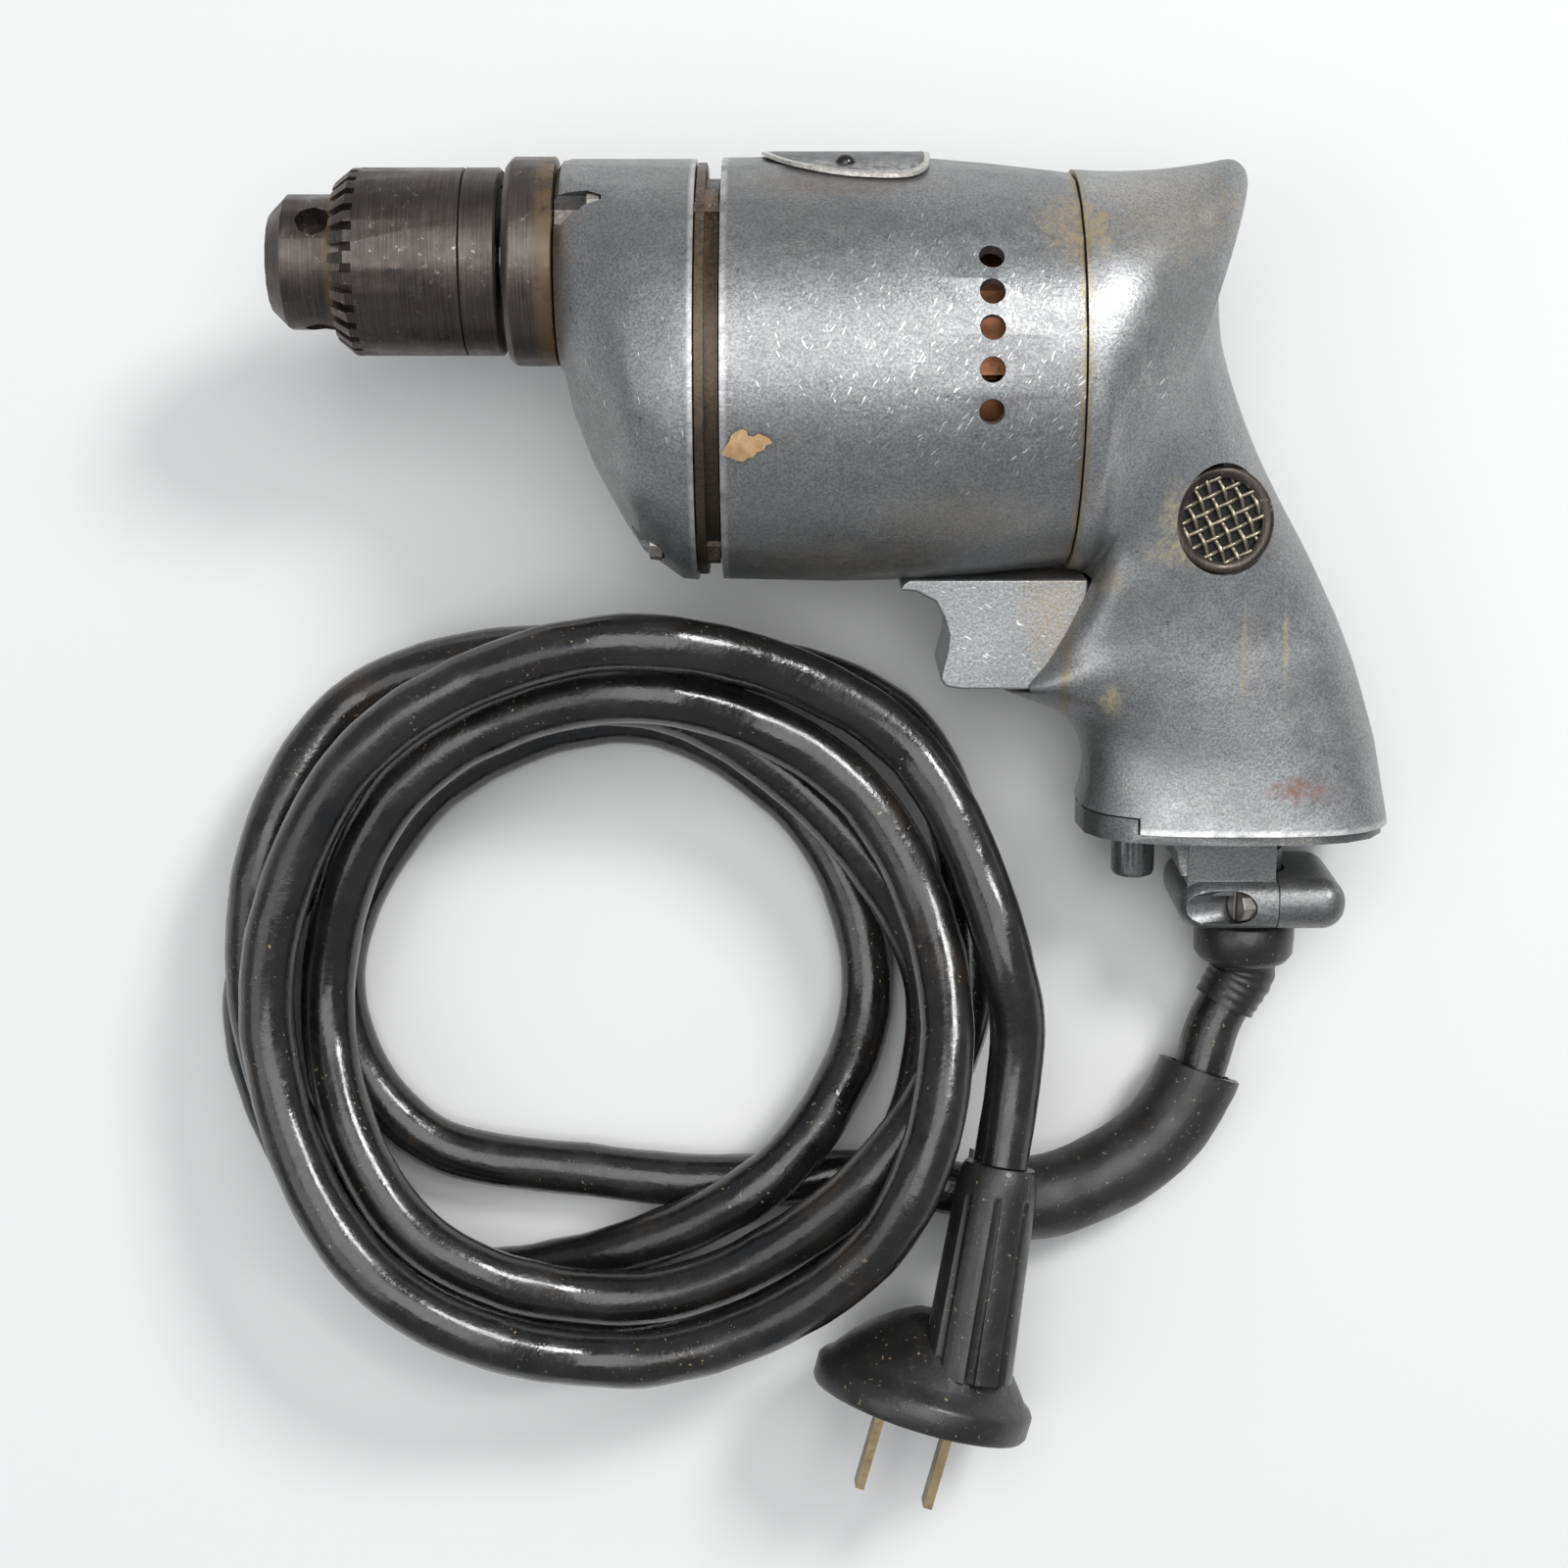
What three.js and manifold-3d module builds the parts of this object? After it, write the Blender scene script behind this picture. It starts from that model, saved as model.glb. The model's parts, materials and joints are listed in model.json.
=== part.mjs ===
// An electric drill of the cast-metal pistol kind, lying on its side with its lead, coil and plug.
// Millimetres.  The drill is drawn about its motor axis: x runs back, y up, z out of the upper side.
// It is then laid down on the bench, whose z is up.

import * as THREE from 'three';
import { mergeVertices } from 'three/addons/utils/BufferGeometryUtils.js';
import Module from 'manifold-3d';

const wasm = await Module();
wasm.setup();

// Clearances and section counts
const FIT = 0.3;
const PLAY = 0.4;
const CUT = 1;
const WELD = 1e-5;
const SMOOTH_WITHIN = 0.02;
const ROUND = 24;
const MEDIUM = 16;
const SMALL = 8;
const TURN = 2 * Math.PI;

// Motor casing
const CASING_FRONT = 0.6;
const CASING_REAR = 60.1;
const CASING_R = 36.6;
const CASING_WALL = 3.6;
const CASING_REAR_BORE = 0.839 * CASING_R;
const CASING_TAPER = 46;
const casingShares = [[0, 0.989], [0.33, 1], [0.56, 0.992], [0.76, 0.964], [1, 0.921]];
const FLAT_DROP = 0.948 * CASING_R;
const FLAT_FRONT = 31;
const AIR_HOLE_R = 2;
const AIR_HOLE_X = 44.8;
const airHoleAngles = [37, 26.7, 16.9, 5.8, -5.3];

// Gear case and gear plate
const GEAR_FRONT = -27.4;
const GEAR_REAR = -3.8;
const GEAR_TOP = 0.984 * CASING_R;
const GEAR_WALL = 3;
const GEAR_NOSE_ROUND = 1.6;
const gearCaseShares = [
  [0, -0.03], [0.1, -0.217], [0.24, -0.456], [0.46, -0.722], [0.6, -0.867], [0.89, -1.003], [1, -1.011],
];
const PLATE_FRONT = -5;
const PLATE_RIM_R = 0.967 * CASING_R;
const PLATE_REAR = -2;
const PLATE_SPIGOT_R = 0.858 * CASING_R;
const GROOVE_FLOOR_R = 0.893 * CASING_R;
const GROOVE_FLOOR_WALL = 3.2;
const LUG_R = 3.5;
const PLATE_BOSS_R = 10.5;

// Screws of the gear case
const SCREW_CIRCLE_R = 0.863 * CASING_R;
const SCREW_SPREAD = 28;
const SCREW_R = 1.6;
const SCREW_HEAD_R = 3;
const SCREW_HEAD = 2.2;
const SCREW_SEAT_TOP = -19.2;
const SCREW_SEAT_LOW = -9.4;
const SCREW_END = 7;
const SLOT_WIDTH = 0.9;
const SLOT_DEPTH = 0.9;

// Gear train
const MODULE = 0.02186 * CASING_R;
const PINION_TEETH = 8;
const WHEEL_TEETH = 28;
const SMALL_TEETH = 12;
const SPINDLE_TEETH = 33;
const PINION_FRONT = -10.5;
const WHEEL_FRONT = -10;
const WHEEL_REAR = -5.6;
const SMALL_FRONT = -18;
const SMALL_REAR = -11;
const SPINDLE_GEAR_FRONT = -17;
const SPINDLE_GEAR_REAR = -11.5;
const SPINDLE_Y = 0.508 * CASING_R;
const ADDENDUM_SHARE = 0.9;
const DEDENDUM_SHARE = 1.3;
const ROOT_SHARE = 0.23;
const TIP_SHARE = 0.1;
const PIN_R = 2.1;
const GEAR_BORE_R = 2.5;
const PIN_BOSS_R = 4;

// Spindle and its bearings
const SPINDLE_R = 6;
const SPINDLE_FLANGE_R = 8;
const SPINDLE_FLANGE = 1.6;
const GEAR_SEAT_R = 5;
const JOURNAL_R = 4;
const STUD_R = 4.6;
const COLLAR_FRONT = -36.2;
const COLLAR_R = 0.486 * CASING_R;
const COLLAR_BEVEL = 1.2;
const COLLAR_LIP_R = 9;
const BEARING_BORE_R = 0.363 * CASING_R;
const BEARING_FRONT = -35;
const BUSH_R = 5.6;
const BUSH_FRONT = -8.6;

// Chuck
const CHUCK_REAR = -37.6;
const CHUCK_LENGTH = 39.4;
const CHUCK_BORE_R = 3.3;
const SLEEVE_R = 16;
const CHUCK_CORE_R = 0.80625 * SLEEVE_R;
const NOSE_LENGTH = 11.5;
const NOSE_TIP = CHUCK_REAR - CHUCK_LENGTH;
const NOSE_R = 0.71875 * SLEEVE_R;
const NOSE_FACE_R = 0.53125 * SLEEVE_R;
const NOSE_CONE = 2.9;
const KEY_HOLE_R = 3.05;
const KEY_HOLE_BACK = 8.4;
const KEY_HOLE_X = NOSE_TIP + KEY_HOLE_BACK;
const KEY_HOLE_DEPTH = 5;
const KEY_HOLE_ANGLE = 42;
const SLEEVE_FRONT = NOSE_TIP + NOSE_LENGTH;
const SLEEVE_REAR = CHUCK_REAR + PLAY;
const SLEEVE_FACE_R = 0.85625 * SLEEVE_R;
const SLEEVE_BEVEL = 2.9;
const SLEEVE_TEETH = 28;
const TOOTH_GAP = 1.5;
const TOOTH_DEPTH = 1.6;
const SCRIBE = 0.4;
const SCRIBE_X = SLEEVE_REAR - 16 * SCRIBE;
const JAW_R = 0.14375 * SLEEVE_R;
const JAW_TILT = 15;
const JAW_START_R = 0.25 * SLEEVE_R;
const JAW_POINT_R = CHUCK_BORE_R;
const JAW_BACK = 1.4;
const JAW_FRONT = NOSE_TIP + JAW_BACK;
const JAW_REAR = JAW_FRONT + 1.2875 * SLEEVE_R;
const NUT_LENGTH = 5;
const NUT_FRONT = JAW_REAR - 0.6 * NUT_LENGTH;
const NUT_R = 0.86875 * SLEEVE_R;
const NUT_BORE_R = 0.76875 * SLEEVE_R;
const GROOVE_R = 0.7 * SLEEVE_R;
const STUD_FRONT = JAW_REAR + 0.2 * NUT_LENGTH;

// Motor
const SHAFT_R = 3.7;
const SHAFT_END = 66.4;
const FRONT_BEARING_X = -4.2;
const BEARING_R = 8;
const BEARING_WIDTH = 4.8;
const FAN_FRONT = 2;
const FAN_DEPTH = 5.5;
const FAN_R = 0.724 * CASING_R;
const FAN_HUB_R = 8;
const FAN_PLATE = 1;
const FAN_BLADES = 9;
const FAN_BLADE = 1;
const CORE_FRONT = 14;
const CORE_REAR = 42;
const CORE_R = 0.464 * CASING_R;
const CORE_SLOTS = 12;
const CORE_SLOT_SHARE = 0.72;
const WINDING_LENGTH = 4.7;
const WINDING_R = 0.41 * CASING_R;
const COMMUTATOR_FRONT = 48;
const COMMUTATOR_REAR = 56;
const COMMUTATOR_R = 0.273 * CASING_R;
const FIELD_FRONT = 13;
const FIELD_REAR = 43;
const FIELD_WINDOW_R = 0.751 * CASING_R;
const POLE_BORE_R = 0.497 * CASING_R;
const POLE_HALF_ANGLE = 60;
const COIL_IN_R = 0.533 * CASING_R;
const COIL_OUT_R = 0.738 * CASING_R;
const COIL_OVERHANG = 4.5;
const COIL_SIDE_ANGLE = 86;
const COIL_WINDOW_ANGLE = 62;
const BRUSH_RING_FRONT = 56;
const BRUSH_RING = 1.8;
const BRUSH_RING_BORE = 0.328 * CASING_R;
const BRUSH_X = 51.8;
const BRUSH_WIDTH = 5;
const BRUSH_END = 0.656 * CASING_R;
const HOLDER_WALL = 1.2;
const HOLDER_START = 0.328 * CASING_R;
const HOLDER_END = 0.738 * CASING_R;
const REAR_BEARING_X = 61.6;
const WEB_FRONT = 62;
const WEB_REAR = 66.6;

// Rear housing with the pistol grip
const JOINT_X = 60.4;
const HOUSING_R = 0.937 * CASING_R;
const GRIP_BACK = 119.7;
const BASE_DROP = 79.5;
const GRIP_DROP = BASE_DROP - HOUSING_R;
const HOUSING_WALL = 3.2;
const RING_POINTS = 20;
// Sections of the housing fan out from the barrel joint to the foot of the grip.  Each row holds the inner
// point and the outer point on the side view, the half width, and the roundness of the section's two ends.
const housingShares = [
  [0, -1, 0, 1, 1, 2, 2], [0.019, -1.004, 0.103, 0.991, 0.98, 2, 2],
  [0.032, -1.011, 0.245, 1, 0.918, 2, 1.85], [0.04, -1.015, 0.373, 1.026, 0.825, 2, 1.55],
  [0.047, -1.02, 0.465, 1.047, 0.746, 2, 1.35], [0.049, -1.024, 0.499, 1, 0.717, 2, 1.3],
  [0.051, -1.029, 0.509, 0.939, 0.697, 2, 1.3], [0.052, -1.033, 0.501, 0.851, 0.679, 2, 1.4],
  [0.054, -1.04, 0.47, 0.746, 0.665, 2, 1.5], [0.052, -1.051, 0.438, 0.569, 0.656, 2, 1.65],
  [0.047, -1.066, 0.433, 0.379, 0.647, 2, 1.75], [0.037, -1.095, 0.449, 0.146, 0.624, 2, 1.85],
  [0.017, -1.144, 0.492, -0.102, 0.601, 2.1, 1.9], [-0.017, -1.21, 0.56, -0.385, 0.569, 2.2, 2],
  [-0.061, -1.285, 0.639, -0.65, 0.534, 2.3, 2], [-0.115, -1.369, 0.725, -0.913, 0.504, 2.4, 2],
  [-0.182, -1.473, 0.796, -1.117, 0.49, 2.5, 2], [-0.137, -1.5, 0.828, -1.201, 0.484, 2.5, 2],
  [-0.086, -1.527, 0.857, -1.292, 0.478, 2.4, 2.1], [-0.037, -1.551, 0.88, -1.367, 0.475, 2.3, 2.1],
  [0.005, -1.582, 0.899, -1.438, 0.472, 2.3, 2.1], [0.052, -1.655, 0.929, -1.564, 0.469, 2.3, 2.2],
  [0.074, -1.743, 0.956, -1.684, 0.469, 2.4, 2.3], [0.076, -1.847, 0.976, -1.819, 0.481, 2.6, 2.5],
  [0.061, -1.945, 0.993, -1.94, 0.499, 2.9, 2.8], [0.052, -2, 1, -2, 0.513, 3, 3],
];
// The trigger opening in the side view, down to the tongue below the trigger
const mouthShares = [
  [-0.546, -0.985], [0.032, -0.985], [0.042, -1.031], [0.037, -1.1], [0.015, -1.179], [-0.02, -1.259],
  [-0.066, -1.31], [-0.118, -1.354], [-0.191, -1.407], [-0.546, -1.436],
];
const CAP_BOSS_R = 4;
const VENT_X = 86.5;
const VENT_Y = -23.9;
const VENT_Z = 0.4257 * HOUSING_R;
const VENT_LEAN = 16;
const VENT_LEAN_TO = 43;
const VENT_R = 9.4;
const VENT_MESH_R = 7;
const VENT_RIM = 2;
const MESH_THICK = 0.7;
const MESH_PITCH = 3;
const MESH_WIRE = 0.8;
const MESH_TURN = 22;

// Trigger and switch
const TRIGGER_HALF = 10.5;
const TRIGGER_REAR = 64;
const TRIGGER_HEIGHT = 20;
const TRIGGER_FOOT = FLAT_DROP + TRIGGER_HEIGHT;
const TRIGGER_WALL = 1.8;
const TRIGGER_TRAVEL = 5;
const TRIGGER_CORE_FRONT = 43.6;
const TRIGGER_CORE_TOP = FLAT_DROP + 0.165 * TRIGGER_HEIGHT;
const TRIGGER_CORE_FOOT = FLAT_DROP + 0.885 * TRIGGER_HEIGHT;
const POCKET_HALF = TRIGGER_HALF + PLAY;
const LIP_TOP = FLAT_DROP + 1.02 * TRIGGER_HEIGHT;
const POCKET_REAR = TRIGGER_REAR + 1.12 * TRIGGER_TRAVEL;
// Front edge of the trigger from its thin upper tongue down: shares of its length forward from the rear
// face, and of its height down from the flat.
const triggerShares = [
  [0.95, 0], [0.985, 0.04], [1, 0.1], [0.915, 0.11], [0.81, 0.2], [0.765, 0.34], [0.735, 0.5],
  [0.742, 0.65], [0.762, 0.78], [0.778, 0.9], [0.75, 0.965], [0.68, 0.99],
];
const SWITCH_FRONT = POCKET_REAR + PLAY * 2;
const SWITCH_REAR = 90;
const SWITCH_TOP = FLAT_DROP + 0.115 * TRIGGER_HEIGHT;
const SWITCH_FOOT = FLAT_DROP + 1.015 * TRIGGER_HEIGHT;
const SWITCH_HALF = 9;
const PLUNGER_R = 3;

// Base cap and cord clamp
const CAP_FRONT = JOINT_X + 0.06 * (GRIP_BACK - JOINT_X);
const CAP_BACK = JOINT_X + 0.985 * (GRIP_BACK - JOINT_X);
const CAP_HALF = 0.49 * HOUSING_R;
const CAP_ROUNDNESS = 3;
const CAP_PLATE = 1.5;
const CAP_STEP_REACH = 9.5;
const CAP_STEP_BACK = CAP_FRONT + CAP_STEP_REACH;
const CAP_STEP = 2.5;
const CORD_X = 95.6;
const CORD_HOLE_R = 6.6;
const POST_R = 3.9;
const POST_X = CAP_FRONT + 2.75 * POST_R;
const POST_LENGTH = 11.7;
const POST_END = BASE_DROP + POST_LENGTH;
const POST_BEVEL = 1;
const NECK_REACH = 12.2;
const NECK_FRONT = CORD_X - NECK_REACH;
const NECK_HALF = 10;
const NECK_LENGTH = 10;
const CLAMP_TOP = BASE_DROP + NECK_LENGTH;
const CLAMP_HEIGHT = 9.3;
const CLAMP_FOOT = CLAMP_TOP + CLAMP_HEIGHT;
const CLAMP_HALF = 12.7;
const CLAMP_SQUARENESS = 4;
const CLAMP_CORNER = 4.6;
const CLAMP_LENGTH = 30.2;
const BRACKET_FRONT = CORD_X - 0.457 * CLAMP_LENGTH;
const CLAMP_SPLIT = CORD_X + 0.129 * CLAMP_LENGTH;
const CLAMP_BACK = BRACKET_FRONT + CLAMP_LENGTH;
const NECK_BACK = CLAMP_SPLIT - PLAY;
const CLAMP_SCREW_R = 1.5;
const CLAMP_HEAD_R = 2.9;
const CLAMP_SCREW_SLANT = 24;
const CLAMP_SCREW_X = CORD_X - 0.12 * CLAMP_LENGTH;
const CLAMP_SCREW_Z = 0.86 * CLAMP_HALF;
const CLAMP_SCREW_HEAD = 2.6;
const CLAMP_SCREW_LENGTH = 17;
const CAP_SCREW_X = CAP_BACK - 0.3 * CAP_HALF;
const CAP_SCREW_R = 1.8;
const CAP_SCREW_HEAD_R = 3.8;
const CAP_SCREW_HEAD = 1.8;
const CAP_SCREW_DEEP = 12;

// Boot, lead, guard, coil and plug, on the bench
const CORD_R = 5;
const BOOT_R = 6.3;
const BOOT_COLLAR_R = 9.1;
const BOOT_COLLAR_START = CLAMP_FOOT + PLAY;
const BOOT_COLLAR = 8.3;
const BOOT_COLLAR_END = BOOT_COLLAR_START + BOOT_COLLAR;
const BOOT_TAIL_R = 5.9;
const BOOT_ROUND = 2;
const GUARD_R = 7.8;
const GUARD_BORE_R = 5.7;
const GUARD_SLIT_ANGLE = 16;
const COIL_X = -15.9;
const COIL_Y = -111.7;
const CORD_RISE = 0.2;
const LAY_GAP = 1.8;
const LAY_SLOPE = 0.34;
const LAY_REACH = 24;
const NECK_HEIGHT = 28;
const LOOP_STEPS = 24;
const LEAD_STEPS = 32;
const GUARD_STEPS = 13;
const guardShares = [0.62, 0.93];
const PLUG_R = 20;
const PLUG_RIM = 5.5;
const PLUG_DOME = 12.5;
const PLUG_X = 36.8;
const PLUG_Y = -179.6;
const PLUG_TURN = -16.4;
const PLUG_NECK_R = 8;
const PLUG_NECK_END_R = 6.9;
const PLUG_NECK_X = 43.4;
const PLUG_NECK_Y = -170.6;
const BLADE_LENGTH = 16;
const BLADE_WIDTH = 6.35;
const BLADE_THICK = 1.6;
const BLADE_SPREAD = 6.35;
const BLADE_ROOT = 3;

const deg = THREE.MathUtils.degToRad;

// Surfaces
function metalOf(color, roughness) {
  return new THREE.MeshStandardMaterial({ color, roughness, metalness: 0.9 });
}
function plainOf(color, roughness) {
  return new THREE.MeshStandardMaterial({ color, roughness, metalness: 0 });
}
const castAlloy = metalOf('#8f8e8a', 0.55);
const wornAlloy = metalOf('#a09d97', 0.5);
const gunmetal = metalOf('#37312d', 0.45);
const steel = metalOf('#7c7a77', 0.35);
const meshMetal = metalOf('#6c5a3e', 0.5);
const bronze = metalOf('#8a6a3c', 0.45);
const copper = metalOf('#9a5a34', 0.45);
const laminate = metalOf('#4a4a4c', 0.6);
const brass = metalOf('#7d6a43', 0.45);
const carbon = plainOf('#252525', 0.8);
const phenolic = plainOf('#3a2418', 0.6);
const cordRubber = plainOf('#191715', 0.35);
const dullRubber = plainOf('#1e1c1b', 0.75);

// One closed surface facing out, with shared corners and no empty triangles
function closedOf(geometry) {
  const bare = geometry.clone();
  bare.deleteAttribute('normal');
  bare.deleteAttribute('uv');
  const merged = mergeVertices(bare, WELD);
  const from = merged.index.array;
  const kept = [];
  for (let i = 0; i < from.length; i += 3) {
    const [a, b, c] = [from[i], from[i + 1], from[i + 2]];
    if (a !== b && b !== c && c !== a) {
      kept.push(a, b, c);
    }
  }
  const p = merged.attributes.position;
  const corner = [0, 1, 2].map(() => new THREE.Vector3());
  let volume = 0;
  for (let i = 0; i < kept.length; i += 3) {
    corner.forEach((v, k) => v.fromBufferAttribute(p, kept[i + k]));
    volume += corner[0].dot(corner[1].clone().cross(corner[2]));
  }
  if (volume < 0) {
    for (let i = 0; i < kept.length; i += 3) {
      [kept[i], kept[i + 1]] = [kept[i + 1], kept[i]];
    }
  }
  merged.setIndex(kept);
  return merged;
}

function toSolid(geometry) {
  const whole = closedOf(geometry);
  const vertProperties = Float32Array.from(whole.attributes.position.array);
  const triVerts = Uint32Array.from(whole.index.array);
  return new wasm.Manifold(new wasm.Mesh({ numProp: 3, vertProperties, triVerts }));
}

function fromSolid(solid) {
  const { vertProperties, triVerts } = solid.simplify(SMOOTH_WITHIN).getMesh();
  const geometry = new THREE.BufferGeometry();
  geometry.setAttribute('position', new THREE.BufferAttribute(Float32Array.from(vertProperties), 3));
  geometry.setIndex(Array.from(triVerts));
  return geometry;
}

function join(...pieces) {
  return fromSolid(pieces.map(toSolid).reduce((a, b) => a.add(b)));
}

function cut(body, ...tools) {
  return fromSolid(tools.map(toSolid).reduce((a, b) => a.subtract(b), toSolid(body)));
}

function common(a, b) {
  return fromSolid(toSolid(a).intersect(toSolid(b)));
}

// A solid of revolution about an axis along x, from rows of place and radius
function revolved(profile, sides, y = 0, z = 0) {
  const points = profile.map(([x, r]) => new THREE.Vector2(r, x));
  if (profile[0][1] !== 0 || profile.at(-1)[1] !== 0) {
    points.push(points[0].clone());
  }
  const lathe = new THREE.LatheGeometry(points, sides);
  lathe.rotateZ(-Math.PI / 2);
  lathe.translate(0, y, z);
  return lathe;
}

function rod(from, to, radius, sides, y = 0, z = 0) {
  return revolved([[from, 0], [from, radius], [to, radius], [to, 0]], sides, y, z);
}

function pipe(from, to, bore, radius, sides, y = 0, z = 0) {
  return revolved([[from, bore], [from, radius], [to, radius], [to, bore]], sides, y, z);
}

function alongY(geometry) {
  return geometry.rotateZ(Math.PI / 2);
}

function alongZ(geometry) {
  return geometry.rotateY(-Math.PI / 2);
}

function block(x0, x1, y0, y1, z0, z1) {
  const box = new THREE.BoxGeometry(x1 - x0, y1 - y0, z1 - z0);
  box.translate((x0 + x1) / 2, (y0 + y1) / 2, (z0 + z1) / 2);
  return box;
}

// A side view of x and y points, given its thickness across z
function slab(points, z0, z1) {
  const shape = new THREE.Shape(points.map(([x, y]) => new THREE.Vector2(x, y)));
  const body = new THREE.ExtrudeGeometry(shape, { depth: z1 - z0, bevelEnabled: false });
  body.translate(0, 0, z0);
  return body;
}

// A cross section drawn with u = -z and v = y, run along x
function runAlongX(outline, holes, x0, x1, y = 0, z = 0) {
  const shape = new THREE.Shape(outline);
  holes.forEach((hole) => shape.holes.push(new THREE.Path(hole)));
  const body = new THREE.ExtrudeGeometry(shape, { depth: x1 - x0, bevelEnabled: false });
  body.rotateY(Math.PI / 2);
  body.translate(x0, y, z);
  return body;
}

// A plan of x and z points, run along y
function runAlongY(points, y0, y1) {
  const shape = new THREE.Shape(points.map(([x, z]) => new THREE.Vector2(x, -z)));
  const body = new THREE.ExtrudeGeometry(shape, { depth: y1 - y0, bevelEnabled: false });
  body.rotateX(-Math.PI / 2);
  body.translate(0, y0, 0);
  return body;
}

function polar(radius, angle) {
  return new THREE.Vector2(radius * Math.cos(angle), radius * Math.sin(angle));
}

function circlePoints(radius, sides) {
  return Array.from({ length: sides }, (_, i) => polar(radius, (i * TURN) / sides));
}

// Rings of equal counts joined into one skin, with a fan across each end
function lofted(rings) {
  const count = rings[0].length;
  const points = rings.flat();
  const faces = [];
  for (let i = 0; i + 1 < rings.length; i++) {
    for (let k = 0; k < count; k++) {
      const [a, b] = [i * count + k, i * count + ((k + 1) % count)];
      faces.push(a, b, a + count, b, b + count, a + count);
    }
  }
  [0, rings.length - 1].forEach((end) => {
    const middle = new THREE.Vector3();
    rings[end].forEach((p) => middle.addScaledVector(p, 1 / count));
    points.push(middle);
    for (let k = 0; k < count; k++) {
      const [a, b] = [end * count + k, end * count + ((k + 1) % count)];
      faces.push(...(end === 0 ? [b, a, points.length - 1] : [a, b, points.length - 1]));
    }
  });
  const geometry = new THREE.BufferGeometry();
  geometry.setAttribute('position', new THREE.Float32BufferAttribute(points.flatMap((p) => p.toArray()), 3));
  geometry.setIndex(faces);
  return geometry;
}

// A round or slit section swept along points
function swept(points, section, steps) {
  const path = new THREE.CatmullRomCurve3(points);
  return new THREE.ExtrudeGeometry(new THREE.Shape(section), { steps, extrudePath: path, bevelEnabled: false });
}

function named(name, geometry, surface) {
  const whole = closedOf(geometry);
  whole.computeVertexNormals();
  const mesh = new THREE.Mesh(whole, surface);
  mesh.name = name;
  return mesh;
}

const screwPlaces = [1, -1].flatMap((up) => [1, -1].map((side) => ({
  y: up * SCREW_CIRCLE_R * Math.cos(deg(SCREW_SPREAD)),
  z: side * SCREW_CIRCLE_R * Math.sin(deg(SCREW_SPREAD)),
  seat: up > 0 ? SCREW_SEAT_TOP : SCREW_SEAT_LOW,
})));

// Gear train layout in the cross section
const FIRST_SPAN = (MODULE * (PINION_TEETH + WHEEL_TEETH)) / 2;
const SECOND_SPAN = (MODULE * (SMALL_TEETH + SPINDLE_TEETH)) / 2;
const PIN_Y = (SPINDLE_Y ** 2 + FIRST_SPAN ** 2 - SECOND_SPAN ** 2) / (2 * SPINDLE_Y);
const PIN_Z = Math.sqrt(FIRST_SPAN ** 2 - PIN_Y ** 2);
const PINION_TO_WHEEL = Math.atan2(PIN_Y, -PIN_Z);
const SMALL_TO_SPINDLE = Math.atan2(SPINDLE_Y - PIN_Y, PIN_Z);

function toothOutline(teeth, phase) {
  const root = MODULE * (teeth / 2 - DEDENDUM_SHARE);
  const tip = MODULE * (teeth / 2 + ADDENDUM_SHARE);
  const step = TURN / teeth;
  return Array.from({ length: teeth }, (_, i) => phase + i * step).flatMap((middle) => [
    polar(root, middle - ROOT_SHARE * step),
    polar(tip, middle - TIP_SHARE * step),
    polar(tip, middle + TIP_SHARE * step),
    polar(root, middle + ROOT_SHARE * step),
  ]);
}

function gear(teeth, phase, x0, x1, bore, y, z) {
  const holes = bore > 0 ? [circlePoints(bore, MEDIUM)] : [];
  return runAlongX(toothOutline(teeth, phase), holes, x0, x1, y, z);
}

// Gear case: circles that share their top and widen downwards towards the motor
function gearCaseRing(xShare, bottomShare, shift, inset) {
  const bottom = bottomShare * GEAR_TOP;
  const x = GEAR_FRONT + xShare * (GEAR_REAR - GEAR_FRONT) + shift;
  const y = (GEAR_TOP + bottom) / 2;
  const radius = (GEAR_TOP - bottom) / 2 - inset;
  return circlePoints(radius, ROUND).map((p) => new THREE.Vector3(x, y + p.y, -p.x));
}

function gearCaseOuter() {
  const [first, ...rest] = gearCaseShares;
  const rings = [gearCaseRing(first[0], first[1], 0, GEAR_NOSE_ROUND)];
  rings.push(gearCaseRing(first[0], first[1], GEAR_NOSE_ROUND / 2, GEAR_NOSE_ROUND / 4));
  rest.forEach(([x, bottom]) => rings.push(gearCaseRing(x, bottom, 0, 0)));
  return lofted(rings);
}

function gearCase() {
  const outer = gearCaseOuter();
  const inner = gearCaseShares.map(([x, bottom]) => gearCaseRing(x, bottom, GEAR_WALL, GEAR_WALL));
  let body = cut(outer, lofted(inner));
  const bosses = screwPlaces.flatMap(({ y, z, seat }) => [
    rod(GEAR_FRONT, seat + SCREW_HEAD, SCREW_HEAD_R + FIT + GEAR_WALL / 2, SMALL, y, z),
    rod(seat, GEAR_REAR, SCREW_R + FIT + GEAR_WALL / 3, SMALL, y, z),
  ]);
  const pinBoss = rod(GEAR_FRONT + GEAR_WALL, SMALL_FRONT - PLAY, PIN_BOSS_R, SMALL, PIN_Y, PIN_Z);
  body = join(body, common(join(...bosses), outer), pinBoss);
  const pockets = screwPlaces.flatMap(({ y, z, seat }) => [
    rod(GEAR_FRONT - CUT, seat, SCREW_HEAD_R + FIT, SMALL, y, z),
    rod(seat - CUT, GEAR_REAR + CUT, SCREW_R + FIT, SMALL, y, z),
  ]);
  const spindleHole = rod(GEAR_FRONT - CUT, GEAR_FRONT + GEAR_WALL + CUT, COLLAR_LIP_R, MEDIUM, SPINDLE_Y);
  const pinHole = rod(SMALL_FRONT - PIN_R * 2, SMALL_FRONT + CUT, PIN_R + FIT, SMALL, PIN_Y, PIN_Z);
  return cut(body, ...pockets, spindleHole, pinHole);
}

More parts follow.
